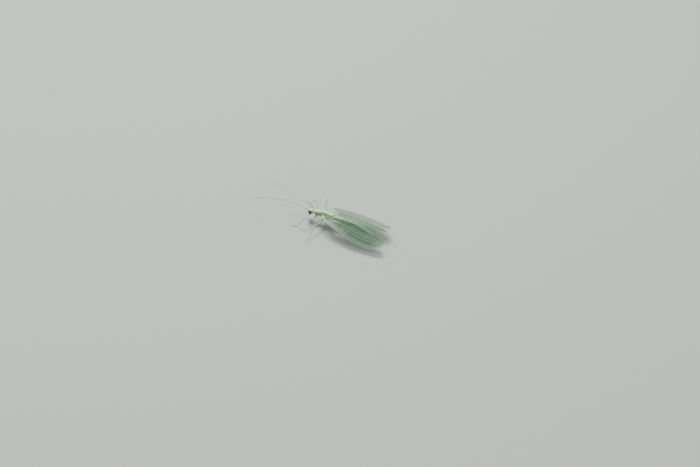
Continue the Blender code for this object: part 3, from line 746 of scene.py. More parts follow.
def nearestLeg(points):
    # For each point: its distance from the nearest leg in leg radii, that leg's part and number, the
    # share along the part and the part's direction
    best, share = np.full(len(points), 1e9), np.zeros(len(points))
    part, leg, lie = np.zeros(len(points), int), np.zeros(len(points), int), np.zeros_like(points)
    for order, (which, side) in enumerate(legNames):
        for number, (path, radii) in enumerate(legParts(which, side)):
            start, end = path[8 if number == 0 else 0], path[-1]
            along = end - start
            u = np.clip((points - start) @ along / along.dot(along), 0, 1)
            off = np.linalg.norm(points - start - u[:, None] * along, axis=1) / float(np.mean(radii))
            closer = off < best
            best[closer], part[closer], share[closer] = off[closer], number, u[closer]
            lie[closer], leg[closer] = unit(along), order
    return best, part, share, lie, leg


# Skin: one surface over thorax, abdomen, head and legs, with its seams and painted colours

skinLook = {
    "voxel": 0.021, "smoothing": 2,
    "green": (0.150, 0.390, 0.115), "deep": (0.032, 0.110, 0.038), "pale": (0.370, 0.610, 0.320),
    "cream": (0.680, 0.920, 0.660), "crown": (0.840, 0.660, 0.340), "yellow": (0.430, 0.560, 0.200),
    "brown": (0.060, 0.022, 0.008), "legGreen": (0.310, 0.550, 0.270), "footStraw": (0.400, 0.330, 0.150),
    "headEnd": (1.14, 1.02), "abdomenFront": (4.85, 5.15),  # x, where one colouring runs into the next
    "creamWidth": 0.25,  # half width of the stripe along the back
    # angle round the abdomen from its top, width and strength; the dark line is painted shade beside the stripe
    "flank": (1.75, 0.55, 0.90), "paintedShadeLine": (0.84, 0.17, 0.95),
    "foldWidth": 0.06,  # of a segment
    # place from the middle and width, height and width, fade along the head, strength
    "cheekMark": (0.38, 0.09, 1.60, 0.20, 0.66, 0.50, 1.7), "mouthMark": (0.22, 0.05, 1.44, 0.12, 0.50, 0.35, 1.5),
}
grooves = {
    # where the seams of the thorax begin, end and run out at the sides
    "front": (1.15, 1.30), "end": (5.15, 5.00), "beside": (0.98, 0.86),
    # rings across the back: x, depth, half width
    "rings": ((1.50, 0.020, 0.030), (1.90, 0.026, 0.035), (2.33, 0.060, 0.050), (3.88, 0.055, 0.045),
              (4.98, 0.045, 0.045)), "ringBow": 0.10, "ringHeight": (1.5, 1.8),
    # arcs round a small back plate: x, radius, depth, half width
    "arcs": ((3.60, 0.27, 0.034, 0.024), (4.60, 0.23, 0.030, 0.024)),
    # slanting seams down the sides: x at the floor of the thorax, lean, depth, half width
    "sides": ((2.86, 0.22, 0.030, 0.028), (3.22, 0.26, 0.026, 0.026), (4.06, 0.22, 0.028, 0.026),
              (1.62, 0.16, 0.022, 0.026)), "sideFloor": 1.6,
    "vee": (2.50, 0.62),  # x of its tip, spread
    # depth, half width, where it begins and ends
    "veeCut": (0.030, 0.0312, (2.42, 2.50), (3.10, 2.95)), "middle": (0.020, 0.022, (2.60, 2.80), (3.40, 3.25)),
    "crown": (0.012, 0.022, (0.30, 0.45), (1.05, 0.95)),
}


def carve(points, normals):
    # Seams between the plates of the thorax and on the crown, pressed into the skin
    x, y, z = points.T
    chest = fade(x, *grooves["front"]) * fade(x, *grooves["end"]) * fade(np.abs(y), *grooves["beside"])
    back = chest * fade(normals[:, 2], 0.1, 0.5)
    flank = chest * fade(np.abs(normals[:, 1]), 0.35, 0.7)
    depth = np.zeros(len(points))
    for place, deep, wide in grooves["rings"]:
        ring = hump(x - grooves["ringBow"] * y**2, place, wide)
        depth += deep * ring * chest * fade(z, *grooves["ringHeight"])
    for place, reach, deep, wide in grooves["arcs"]:
        depth += deep * hump(np.hypot(x - place, y), reach, wide) * back * fade(x, place + 0.05, place - 0.1)
    for place, lean, deep, wide in grooves["sides"]:
        depth += deep * hump(x - lean * (z - grooves["sideFloor"]), place, wide) * flank
    tip, opening = grooves["vee"]
    for name, aside, where in (("veeCut", np.abs(y) - (x - tip) * opening, back), ("middle", y, back),
                               ("crown", y, fade(normals[:, 2], 0.4, 0.7))):
        deep, wide, start, end = grooves[name]
        depth += deep * hump(aside, 0, wide) * where * fade(x, *start) * fade(x, *end)
    return points - normals * depth[:, None]


def skinColours(points, normals, hollow):
    look = {key: np.array(value) for key, value in skinLook.items() if isinstance(value, tuple)}
    x, y, z = points.T
    up = normals[:, 2]
    tint = np.tile(look["green"], (len(points), 1))

    def blend(colour, mask):
        tint[:] += (colour - tint) * np.clip(mask, 0, 1)[:, None]

    blend(look["pale"], fade(-up, 0.1, 0.8) * 0.8)
    blend(look["yellow"], fade(up, 0.2, 0.9) * 0.35)
    # Abdomen: pale flanks, a line of painted shade beside the stripe, a darker tail and pale folds between segments
    share = np.clip((x - trunk["abdomenStart"]) / trunk["abdomenLength"], 0, 1)
    middle, onAbdomen = abdomenAxis(share), fade(x, *look["abdomenFront"])
    sideways = y - middle[:, 1] * onAbdomen
    angle = np.arctan2(np.abs(sideways), z - middle[:, 2])
    for colour, mark in (("pale", "flank"), ("deep", "paintedShadeLine")):
        place, wide, strength = look[mark]
        blend(look[colour], onAbdomen * hump(angle, place, wide) * strength)
    blend(look["deep"], fade(share, 0.84, 1.0) * fade(angle, 0.6, 1.0) * 0.7)
    segment = share * trunk["segments"] % 1.0
    folds = hump(segment, 0, skinLook["foldWidth"]) + hump(segment, 1, skinLook["foldWidth"])
    blend(look["pale"], onAbdomen * folds * 0.5)
    # Cream stripe from the crown to the tail, with an uneven edge
    width = skinLook["creamWidth"] * (1 + 0.25 * onAbdomen + 0.25 * fade(x, 1.2, 0.6))
    width = width + 0.03 * np.sin(x * 9.0) + 0.02 * np.sin(x * 23.0 + 1.0)
    blend(look["cream"], fade(np.abs(sideways), width + 0.10, width - 0.04) * fade(up, 0.15, 0.5) * 0.96)
    # Head: warm crown, yellow face, brown marks from the eye to the mouth
    onHead = fade(x, *look["headEnd"])
    blend(look["yellow"] * 1.15, onHead * fade(up, 0.2, -0.4) * 0.6)
    blend(look["crown"], onHead * fade(z, 2.16, 2.40) * 0.9)
    for mark in ("cheekMark", "mouthMark"):
        place, wide, height, tall, start, end, strength = look[mark]
        mask = hump(np.abs(y), place, wide) * hump(z, height, tall) * fade(x, start, end)
        blend(look["brown"], onHead * mask * strength)
    # Legs: green, turning straw towards the foot, with brown joints there
    off, part, along, _, _ = nearestLeg(points)
    onLeg, onFoot = fade(off, 2.1, 1.45), part >= 3
    straw = np.where(onFoot, 0.45 + 0.55 * fade(part + along, 3, 8), (part == 2) * 0.35 * fade(along, 0.5, 1.0))
    legTint = look["legGreen"] + (look["footStraw"] - look["legGreen"]) * straw[:, None]
    blend(legTint, onLeg * np.where(part == 0, 0.5, 1.0))
    blend(look["brown"], onLeg * onFoot * fade(along, 0.86, 1.0) * 0.25)
    # Shade in the grooves, light on the ridges
    blend(look["deep"] * 0.8, fade(hollow, 0.15, 1.0) * 0.8)
    blend(look["cream"], fade(-hollow, 0.3, 1.2) * 0.25)
    return np.clip(tint, 0, 1)


def makeSkin():
    shapes = thoraxShapes() + abdomenShapes() + headShapes() + legShapes()
    points, quads, edges = weld(shapes, skinLook["voxel"], skinLook["smoothing"])
    points = carve(points, quadNormals(points, quads))
    normals = quadNormals(points, quads)
    hollow = ((neighbourMean(points, edges) - points) * normals).sum(axis=1)
    for k in range(4):
        hollow = neighbourMean(hollow, edges)
    hollow /= np.percentile(np.abs(hollow), 97)
    legs = [f"leg_{which}_{'left' if side < 0 else 'right'}" for which, side in legNames]
    addPiece("skin", (points, quads.tolist()), skinCuticle, "thorax_cuticle", "head", "prothorax", "mesothorax",
             "metathorax", "abdomen", *legs, tints=skinColours(points, normals, hollow))
    return points, normals, quads


skinPoints, skinNormals, skinQuads = makeSkin()
print("skin made,", len(skinQuads), "faces")


# Eyes, each a dome of small lenses

bothLabels = ((-1, "Left"), (1, "Right"))
eyeLook = {
    "lenses": 5, "fineness": 7,  # subdivisions of the ball that places the lenses, and of the ball itself
    "dome": 0.0035, "inward": -0.30,
    "dark": (0.014, 0.011, 0.005), "rim": (0.42, 0.15, 0.022), "sheen": (0.030, 0.050, 0.012),
}


def ball(subdivisions):
    bm = bmesh.new()
    bmesh.ops.create_icosphere(bm, subdivisions=subdivisions, radius=1.0)
    points = np.array([v.co for v in bm.verts])
    faces = [tuple(v.index for v in f.verts) for f in bm.faces]
    bm.free()
    return points, faces


def makeEye(side, label):
    points, faces = ball(eyeLook["fineness"])
    centres, _ = ball(eyeLook["lenses"])
    tree = kdtree.KDTree(len(centres))
    for i, centre in enumerate(centres):
        tree.insert(centre, i)
    tree.balance()
    kept = points[:, 1] > eyeLook["inward"]
    order = np.cumsum(kept) - 1
    faces = [tuple(order[i] for i in f) for f in faces if all(kept[i] for i in f)]
    points = points[kept]
    reach = np.array([tree.find(p)[2] for p in points])
    sunk = eyeLook["dome"] * (reach / reach.max()) ** 2
    shape = points * face["eyeRadii"] - unit(points / face["eyeRadii"]) * sunk[:, None]
    shape = (shape @ np.array(nodTurn.to_3x3()).T + face["eyeCentre"]) * (1, side, 1)
    if side < 0:
        faces = [f[::-1] for f in faces]
    dark, rim, sheen = (np.array(eyeLook[key]) for key in ("dark", "rim", "sheen"))
    tints = dark + (sheen - dark) * hump(points[:, 2:], 0.25, 0.30)
    tints = tints + (rim - tints) * fade(points[:, 1:2], 0.30, 0.02)
    addPiece("eye" + label, (shape, faces), eyeLustre, "eye", "eye_" + label.lower(), tints=tints)


for side, label in bothLabels:
    makeEye(side, label)
print("eyes made")


# Jaws and palps

def makePalp(route, radii, sides, parts):
    # A segmented tube: each part swells towards its end and narrows at the joint
    share = np.linspace(0, 1, len(parts) * 8 + 1)
    marks = np.concatenate([[0], np.cumsum(parts)])
    marks = marks / marks[-1]
    part = np.clip(np.searchsorted(marks, share + 1e-9) - 1, 0, len(parts) - 1)
    within = (share - marks[part]) / (marks[part + 1] - marks[part])
    waist = face["palpWaist"]
    swell = waist + (1 - waist) * np.sin(math.pi * np.clip(within, 0.02, 0.98) ** 1.3) ** 0.5
    return bothSides(sweep(smoothPath(route, len(share)), spread(radii, len(share)) * swell, sides))


def makeMouthparts():
    jaws = bothSides(sweep(smoothPath(face["jaw"], 14), spread(face["jawRadii"], 14), 12))
    addPiece("jaws", joined(jaws), clawHorn, "head_cuticle")
    palps = makePalp(*face["longPalp"]) + makePalp(*face["shortPalp"])
    addPiece("palps", joined(palps), feelerCuticle, "head_cuticle")


makeMouthparts()
print("mouthparts made")


# Feelers

feeler = {
    "root": (-0.10, 0.41, 2.36), "length": 11.0, "yaw": (6.0, 22.0), "pitch": (34.0, -16.0),
    "torulus": (0.16, 0.16, 2.15), "steps": 18, "joints": 84, "sides": 10,
    "scape": (0.062, 0.088, 0.092, 0.085, 0.070), "pedicel": (0.052, 0.064, 0.066, 0.055),
    "knee": 0.62, "wrist": 0.98,  # where the scape and the pedicel end, of the way to the root
    "baseRadius": 0.040, "tipRadius": 0.022, "jointShape": (0.84, 0.95, 1.03, 1.0),
}


def feelerPath(side):
    path = [np.array(feeler["root"]) * (1, side, 1)]
    for k in range(feeler["steps"]):
        u = (k + 0.5) / feeler["steps"]
        (yaw, lastYaw), (pitch, lastPitch) = feeler["yaw"], feeler["pitch"]
        way = direction(yaw + (lastYaw - yaw) * u, pitch + (lastPitch - pitch) * u**0.6, side)
        path.append(path[-1] + way * (feeler["length"] / feeler["steps"]))
    return np.array(path)


def makeFeeler(side, label):
    path = feelerPath(side)
    base = np.array(feeler["torulus"]) * (1, side, 1)
    towards = path[0] - base
    knee, wrist = base + towards * feeler["knee"], base + towards * feeler["wrist"]
    shapes = [sweep(smoothPath((base, base + towards * 0.3, knee), 12), spread(feeler["scape"], 12), 18),
              sweep(smoothPath((knee - towards * 0.03, wrist), 9), spread(feeler["pedicel"], 9), 16)]
    count = feeler["joints"] * 4 + 1
    line = smoothPath(np.concatenate([[wrist - towards * 0.02], path[1:]]), count)
    swell = np.array(feeler["jointShape"])[np.arange(count) % 4]
    thick = np.linspace(feeler["baseRadius"], feeler["tipRadius"], count) * swell
    shapes.append(sweep(line, thick, feeler["sides"]))
    addPiece("feeler" + label, joined(shapes), feelerCuticle, "antenna_cuticle", "antenna_" + label.lower())
    return line, thick


feelerLines = {side: makeFeeler(side, label) for side, label in bothLabels}
print("feelers made")


# Claws and foot pads

claws = {"length": 0.12, "radius": 0.020, "taper": 0.86, "spread": 24.0, "arch": 0.04, "fall": 0.050,
         "lowest": 0.006, "pad": (0.045, 0.030, 0.022)}


def makeClaws():
    hooks, pads = [], []
    along = np.linspace(0, 1, 9)
    arch = np.sin(along * math.pi * 0.75) * claws["arch"] - along * claws["fall"]
    for which, side in legNames:
        ankle, toe = legJoints(which, side)[5:]
        ahead = unit((toe - ankle) * (1, 1, 0))
        across = np.cross((0, 0, 1.0), ahead)
        for a in (-math.radians(claws["spread"]), math.radians(claws["spread"])):
            out = ahead * math.cos(a) + across * math.sin(a)
            line = toe - ahead * 0.03 + np.outer(along, out * claws["length"]) + np.outer(arch, (0, 0, 1.0))
            line[:, 2] = np.maximum(line[:, 2], claws["lowest"])
            hooks.append(sweep(line, claws["radius"] * (1 - claws["taper"] * along**1.2), 10))
        turn = Matrix.Rotation(math.atan2(ahead[1], ahead[0]), 4, "Z")
        pads.append(oval(toe + ahead * 0.035 - (0, 0, 0.022), claws["pad"], turn, 10, 14))
    addPiece("claws", joined(hooks), clawHorn, "leg_cuticle")
    addPiece("footPads", joined(pads), feelerCuticle, "leg_cuticle")


makeClaws()
print("claws made")


# Wings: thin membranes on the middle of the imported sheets, with the net of veins laid over them

roof = {
    "ridgeSlope": math.radians(18.0), "costalSlope": math.radians(50.0), "width": 4.40,
    "ridge": ((2.60, 3.16), (4.00, 3.54), (5.50, 3.72), (8.00, 3.76), (11.0, 3.56), (15.3, 3.14)),
    "tip": 0.990,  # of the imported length
    "rootBlend": 0.16, "rootReach": 0.035,  # share of the length by which the root runs in to the thorax
    "closing": 0.985,  # from this share on the outline closes in an arc
    "innerStart": (0.03, 0.22), "innerEnd": (0.98, 0.62),  # where the strip under the forewing widens and narrows
    "pleat": 0.022, "pleats": 26.0, "membrane": 0.012, "grid": (140, 64),  # rows along, points across
}
foreWing = {
    "length": 12.15, "base": 2.95, "below": 0.0, "rootX": (2.86, 3.24), "rootZ": (2.66, 2.74),
    "costal": ((0.0, 1.75), (0.08, 2.15), (0.2, 2.80), (0.4, 3.66), (0.6, 4.12), (0.78, 4.08),
               (0.9, 3.60), (0.965, 3.00), (1.0, 2.35)),
    # the hind edges of the thin wings almost meet along the ridge
    "hind": ((0.0, 1.35), (0.08, 1.05), (0.2, 0.40), (0.33, 0.06), (0.62, 0.06), (0.76, 0.30),
             (0.87, 0.80), (0.95, 1.33), (1.0, 1.90)),
    "inner": 0.0,
    # main veins: share of the length, place across from the hind margin at 0 to the front edge at 1
    "subcosta": ((-.035, .84), (.06, .872), (.30, .888), (.60, .903), (.78, .93), (.86, .99)),
    "radius": ((-.035, .72), (.06, .775), (.25, .80), (.50, .825), (.72, .85), (.88, .875), (.96, .93),
               (.985, .99)),
    "sector": ((.12, .785), (.20, .735), (.35, .705), (.55, .69), (.75, .69), (.90, .68), (.97, .63),
               (.985, .66), (.998, .99)),
    "media": ((-.035, .50), (.08, .535), (.20, .525), (.40, .475), (.58, .445), (.70, .50), (.80, .56),
              (.90, .625), (.945, .650)),
    "cubitus": ((-.035, .30), (.08, .335), (.20, .29), (.45, .225), (.62, .23), (.74, .30), (.86, .41),
                (.94, .53), (.975, .632)),
    "anal": ((-.035, .14), (.05, .15), (.12, .10), (.20, .0)),
    "costalBars": 28, "radialBars": 15, "branches": 18, "firstBranch": 0.20, "rake": 0.105,
}
hindWing = {
    "length": 10.4, "base": 4.25, "below": 0.86, "rootX": (4.24, 4.54), "rootZ": (2.20, 2.27),
    "costal": ((0.0, 2.15), (0.1, 2.60), (0.25, 3.25), (0.5, 3.98), (0.72, 4.00), (0.88, 3.50),
               (0.96, 2.95), (1.0, 2.50)),
    "hind": ((0.0, 1.90), (0.1, 1.80), (0.25, 1.68), (0.5, 1.64), (0.72, 1.58), (0.88, 1.62),
             (0.96, 1.84), (1.0, 2.10)),
    "inner": 0.42,  # how far the thin wing runs on up under the forewing, in chords
    "subcosta": ((-.035, .88), (.10, .93), (.50, .945), (.80, .965), (.88, .995)),
    "radius": ((-.035, .76), (.10, .84), (.30, .875), (.60, .895), (.80, .91), (.92, .95), (.975, .99)),
    "sector": ((.10, .83), (.20, .78), (.40, .755), (.60, .75), (.80, .74), (.96, .66), (.985, .68), (.998, .99)),
    "media": ((-.035, .50), (.10, .56), (.30, .53), (.50, .50), (.65, .53), (.78, .58), (.88, .64), (.945, .672)),
    "cubitus": ((-.035, .22), (.10, .26), (.30, .22), (.50, .20), (.65, .27), (.80, .38), (.92, .53),
                (.970, .660)),
    "anal": ((-.035, .02), (.08, .0), (.18, -.10), (.30, -.28)),
    "costalBars": 22, "radialBars": 13, "branches": 16, "firstBranch": 0.18, "rake": 0.11,
}
veinLook = {
    "pale": (0.61, 0.82, 0.56), "green": (0.310, 0.560, 0.270), "dark": (0.195, 0.420, 0.170),
    "main": 0.036, "second": 0.026, "cross": 0.0155, "sides": 7, "zigzag": 0.008,
    "front": 0.994, "margin": 0.006,  # how near the veins of the edges lie to them, in chords
    "tipBars": 6, "lastBranch": 0.945, "fork": (0.42, 0.016),  # where a branch forks, and how wide
    "steps": (0.44, 0.54),  # where a step leaves one branch and reaches the next
    # how far along a branch crosses the false veins and ends, in rakes, and the last share for each
    "crossings": ((0.28, 0.955), (0.62, 0.972), (1.02, 0.985)),
    "rootCells": (("cubitus", "media", (0.05, 0.11, 0.17)), ("media", "radius", (0.06, 0.14)),
                  ("anal", "cubitus", (0.05, 0.11))),
}


def wingPoint(wing, share, across):
    # Middle of a right wing at a share of its length and a place across it
    share, across = np.broadcast_arrays(np.asarray(share, float), np.asarray(across, float))
    along = np.clip(share, 0, 1)
    hind, costal = through(wing["hind"], along), through(wing["costal"], along)
    start = roof["closing"]
    close = np.sqrt(np.clip(1 - (np.maximum(along - start, 0) / (1 - start)) ** 2, 0, 1))
    down = (hind + costal) / 2 + (costal - hind) / 2 * close * (2 * across - 1)
    curl = (roof["costalSlope"] - roof["ridgeSlope"]) / roof["width"]
    slope = roof["ridgeSlope"] + curl * down
    x = wing["base"] + wing["length"] * roof["tip"] * along
    below = wing["below"] * (1 - 0.42 * fade(-across, 0, max(wing["inner"], 0.01)))
    height = through(roof["ridge"], x) - (math.cos(roof["ridgeSlope"]) - np.cos(slope)) / curl
    sideways = (np.sin(slope) - math.sin(roof["ridgeSlope"])) / curl
    onRoof = np.stack([x, sideways - np.sin(slope) * below, height - np.cos(slope) * below], axis=-1)
    (xFront, xHind), (zFront, zHind) = wing["rootX"], wing["rootZ"]
    within = np.clip(across, 0, 1)
    xRoot, zRoot = xHind + (xFront - xHind) * within, zHind + (zFront - zHind) * within
    wall = thoraxPoint(xRoot, np.full_like(xRoot, math.pi / 2))[..., 1]
    inwards = np.clip(-share / roof["rootReach"], 0, 1)
    atRoot = np.stack([xRoot, wall + trunk["gap"] * (1 - 1.25 * inwards), zRoot], axis=-1)
    mix = 1 - (1 - np.clip(along / roof["rootBlend"], 0, 1)[..., None]) ** 2
    return atRoot + (onRoof - atRoot) * mix


def wingFrame(wing, share, across):
    # Points on the wing with the outward normal, lifted by the pleats that run along it
    share, across = np.broadcast_arrays(np.asarray(share, float), np.asarray(across, float))
    step = 0.004
    along = wingPoint(wing, share + step, across) - wingPoint(wing, share - step, across)
    over = wingPoint(wing, share, across + step) - wingPoint(wing, share, across - step)
    normal = unit(np.cross(along, over))
    normal = np.where(normal[..., 2:] < 0, -normal, normal)
    pleat = roof["pleat"] * np.cos(across * roof["pleats"]) * fade(share, 0.02, 0.2) * fade(share, 1.0, 0.8)
    return wingPoint(wing, share, across) + normal * pleat[..., None], normal


def lengthwise(count):
    # Shares of the length from inside the thorax to the tip, closer together where the tip closes
    return np.concatenate([np.linspace(-roof["rootReach"], roof["closing"], count, endpoint=False),
                           1 - (1 - roof["closing"]) * (1 - np.sin(np.linspace(0, math.pi / 2, 12)))])


def hindMargin(wing, share):
    return -wing["inner"] * fade(share, *roof["innerStart"]) * fade(share, *roof["innerEnd"])


def makeMembranes(wing, name, slot, material):
    rows, columns = roof["grid"]
    share = lengthwise(rows)[:, None]
    inner = hindMargin(wing, share)
    points, normals = wingFrame(wing, share, inner + (1 - inner) * np.linspace(0, 1, columns))
    half = normals * (roof["membrane"] / 2)
    sheet = np.concatenate([(points + half).reshape(-1, 3), (points - half).reshape(-1, 3)])
    count = len(sheet) // 2
    order = np.arange(count).reshape(-1, columns)
    quads = np.stack([order[:-1, :-1], order[1:, :-1], order[1:, 1:], order[:-1, 1:]], axis=-1).reshape(-1, 4)
    rim = np.concatenate([order[0], order[1:, -1], order[-1, -2::-1], order[-2:0:-1, 0]])
    after = np.roll(rim, -1)
    walls = np.stack([after, rim, rim + count, after + count], axis=-1)
    faces = np.concatenate([quads, quads[:, ::-1] + count, walls])
    right = sheet, faces[:, ::-1].tolist()
    for shape, label in ((mirrored(right), "Left"), (right, "Right")):
        addPiece(name + label, shape, material, "wing_membrane", slot + label.lower())


def veinNet(wing):
    # Every vein as (points (share, across), radius at its start, radius at its end)
    main, second, cross = veinLook["main"], veinLook["second"], veinLook["cross"]
    front, margin = veinLook["front"], veinLook["margin"]
    lines = []

    def on(vein, share):
        return share, float(through(wing[vein], share))

    def addLine(points, start, end, count):
        rows = np.column_stack([np.linspace(0, 1, len(points)), np.array(points, float)])
        lines.append((through(rows, np.linspace(0, 1, count)), start, end))

    def evenly(start, reach, count):
        return start + reach * (np.arange(count) + 0.5) / count

    # Front edge and hind edge, which meet at the tip, then the long veins
    edge = lengthwise(120)
    lines.append((np.column_stack([edge, np.full(len(edge), front)]), main * 1.15, cross * 1.2))
    lines.append((np.column_stack([edge, hindMargin(wing, edge) + margin]), second * 0.8, cross * 1.2))
    addLine(wing["subcosta"], main, second, 60)
    addLine(wing["radius"], main * 1.2, second, 80)
    for vein, start in (("media", main * 0.9), ("cubitus", main * 0.9), ("sector", second * 1.2)):
        share = np.linspace(wing[vein][0][0], wing[vein][-1][0], 4 * wing["branches"])
        wave = 4 * np.abs(share * wing["branches"] * 1.15 % 1.0 - 0.5) - 1
        kink = veinLook["zigzag"] * wave * fade(share, 0.12, 0.25)
        lines.append((np.column_stack([share, through(wing[vein], share) + kink]), start, cross * 1.2))
    addLine(wing["anal"], second, cross, 20)

    # Bars of the front strip, then between the radius and its sector
    last = wing["subcosta"][-1][0]
    for share in evenly(0.045, last - 0.09, wing["costalBars"]):
        addLine([on("subcosta", share), (share + 0.006, front)], cross, cross * 0.9, 4)
    for share in evenly(last - 0.01, 0.975 - last, veinLook["tipBars"]):
        addLine([on("radius", share), (share + 0.010, front)], cross, cross * 0.9, 4)
    for share in evenly(0.19, 0.76, wing["radialBars"]):
        addLine([on("sector", share), on("radius", share + 0.004)], cross, cross, 4)

    # Branches from the sector across both false veins to the hind edge, where each one forks
    crossings = []
    forkAt, forkWidth = veinLook["fork"]
    for k in range(wing["branches"]):
        part = (k + 0.3) / wing["branches"]
        root = wing["firstBranch"] + (veinLook["lastBranch"] - wing["firstBranch"]) * part
        rake = wing["rake"] * (1 - 0.72 * part**1.5)
        first, then, final = (min(root + rake * far, limit) for far, limit in veinLook["crossings"])
        end = float(hindMargin(wing, final))
        branch = np.array([on("sector", root), on("media", first), on("cubitus", then)])
        crossings.append(branch)
        addLine(branch[:2], cross * 1.1, cross * 1.1, 6)
        addLine(branch[1:], cross * 1.1, cross, 6)
        fork = branch[2] + ((final, end) - branch[2]) * forkAt
        addLine([branch[2], fork], cross, cross, 5)
        for apart in (-forkWidth, forkWidth):
            finish = min(final + apart * (1 - 0.5 * part), 0.99)
            addLine([fork, (finish, end + margin)], cross, cross * 0.8, 6)

    # Two rows of steps that join each branch to the next
    leave, reach = veinLook["steps"]
    for before, after in zip(crossings[2:-1], crossings[3:]):
        for field in (0, 1):
            addLine([before[field] + (before[field + 1] - before[field]) * leave,
                     after[field] + (after[field + 1] - after[field]) * reach], cross, cross, 5)

    # Cells near the root, a small loop beside the media and the last veins to the hind edge
    for low, high, shares in veinLook["rootCells"]:
        for share in shares:
            addLine([on(low, share), on(high, share + 0.008)], cross, cross, 4)
    addLine([on("media", 0.17), (0.205, on("media", 0.2)[1] + 0.075), on("media", 0.26)], cross, cross, 12)
    for share in (0.17, 0.21, 0.25):
        finish = float(hindMargin(wing, share + 0.03)) + margin
        addLine([(share - 0.02, on("cubitus", share)[1]), (share + 0.03, finish)], cross, cross * 0.8, 8)
    return lines


def makeVeins(wing, name):
    # Tubes along every vein, and their middles for the hairs
    tubes, lines, tints = [], [], []
    pale, green, dark = (np.array(veinLook[key]) for key in ("pale", "green", "dark"))
    for spots, start, end in veinNet(wing):
        points, normals = wingFrame(wing, spots[:, 0], spots[:, 1])
        tubes.append(sweep(points, np.linspace(start, end, len(points)), veinLook["sides"]))
        lines.append((points, normals, spots))
        share, across = np.concatenate([np.repeat(spots, veinLook["sides"], axis=0), spots[[0, -1]]]).T
        thick = start / veinLook["main"]
        # Paler on the thick front veins and towards the root: partly their own pale colour, partly a painted
        # highlight
        paleAndHighlight = fade(across, 0.62, 0.85) * fade(thick, 0.40, 0.8) * fade(share, 0.85, 0.15)
        shade = green + (dark - green) * (fade(thick, 0.8, 0.45) * 0.6)
        tints.append(shade + (pale - shade) * np.maximum(paleAndHighlight, 0.8 * fade(share, 0.22, 0.04))[:, None])
    right, tints = joined(tubes), np.concatenate(tints)
    for shape, label in ((right, "Right"), (mirrored(right), "Left")):
        addPiece(name + label, shape, veinCuticle, "wing_membrane", tints=tints)
    return lines


makeMembranes(foreWing, "foreMembrane", "forewing_", foreMembrane)
makeMembranes(hindWing, "hindMembrane", "hindwing_", hindMembrane)
foreLines = makeVeins(foreWing, "foreVeins")
hindLines = makeVeins(hindWing, "hindVeins")
print("wings made")


# Hairs, each a thin tapered blade of mesh with its root's place on the unwrap in "OFBake"

coat = {
    "seed": 11, "patch": 0.0014, "inside": 0.002,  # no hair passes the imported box
    "skinCount": 9000, "thickness": 0.0055, "finer": 0.7,  # on wings and feelers
    # region: how thickly they grow, shortest, longest, how much they stand up, how much they lie back
    "regions": ((0.7, 0.05, 0.10, 1.0, 0.3), (1.3, 0.10, 0.21, 1.0, 0.7),  # head, thorax
                (1.0, 0.07, 0.13, 0.55, 1.0), (1.7, 0.055, 0.11, 0.65, 1.0)),  # abdomen, legs
    "veinStep": 0.13, "veinHair": (0.05, 0.09), "fringeStep": 0.035, "fringes": (0.07, 0.13),  # front, hind
    "feelerHair": (0.035, 0.06),
    "rooted": 0.012, "jitter": 0.16, "bend": 0.35,  # depth in the skin, disorder, how far the tip lies back
    "regionEnds": (1.06, 4.98), "legReach": 1.7, "floor": 0.03,  # x of head and thorax, leg radii, height
    "fringeLength": (0.75, 0.5), "fringeLean": 0.45, "fringeJitter": 0.12,
    # hairs of a vein: how much they stand up, to the side and along it, share of them on the upper side
    "veinLean": (0.8, 0.45, 0.6), "upper": 0.75, "feelerLean": 0.6,
    # the unwrap: its margin and size, then where strips begin, from one to the next, and how tall they are
    "margin": 0.02, "sheet": 0.96, "trunkStrip": (0.34, 0.64), "legStrips": (0.01, 0.052, 0.044),
    "wingStrips": (0.03, 0.49, 0.44), "feelerStrips": (0.02, 0.50, 0.46),
}
chance = np.random.default_rng(coat["seed"])


def addHairs(name, roots, ways, bends, lengths, spots, thickness, slot):
    ways, lengths = unit(ways), lengths[:, None]
    side = unit(np.cross(ways, (0.13, 0.31, 0.94)))
    rise = np.cross(ways, side)
    rings = []
    for at, width in ((0.0, 1.0), (0.45, 0.72)):
        middle = roots + ways * (lengths * at) + bends * (lengths * at * at)
        for k in range(3):
            a = 2 * math.pi * k / 3
            rings.append(middle + (side * math.cos(a) + rise * math.sin(a)) * thickness * width)
    rings.append(roots + (ways + bends) * lengths)
    low, high = (np.array(corner) * perMetre - shift for corner in cadBox)
    points = np.clip(np.stack(rings, axis=1).reshape(-1, 3), low + coat["inside"], high - coat["inside"])
    one = [(0, 1, 4, 3), (1, 2, 5, 4), (2, 0, 3, 5), (3, 4, 6), (4, 5, 6), (5, 3, 6), (2, 1, 0)]
    faces = [tuple(7 * n + i for i in corners) for n in range(len(roots)) for corners in one]
    mesh = addPiece(name, (points, faces), paleHair, slot).data
    patch = np.array([(-1, -1), (1, -1), (0, -0.6), (-0.7, 0.4), (0.7, 0.4), (0, 0.6), (0, 1.0)]) * coat["patch"]
    flat = (np.asarray(spots)[:, None] + patch).reshape(-1, 2)[readAll(mesh.loops, "vertex_index", np.int32, 1)]
    mesh.uv_layers.new(name="OFBake").data.foreach_set("uv", flat.astype(np.float32).ravel())


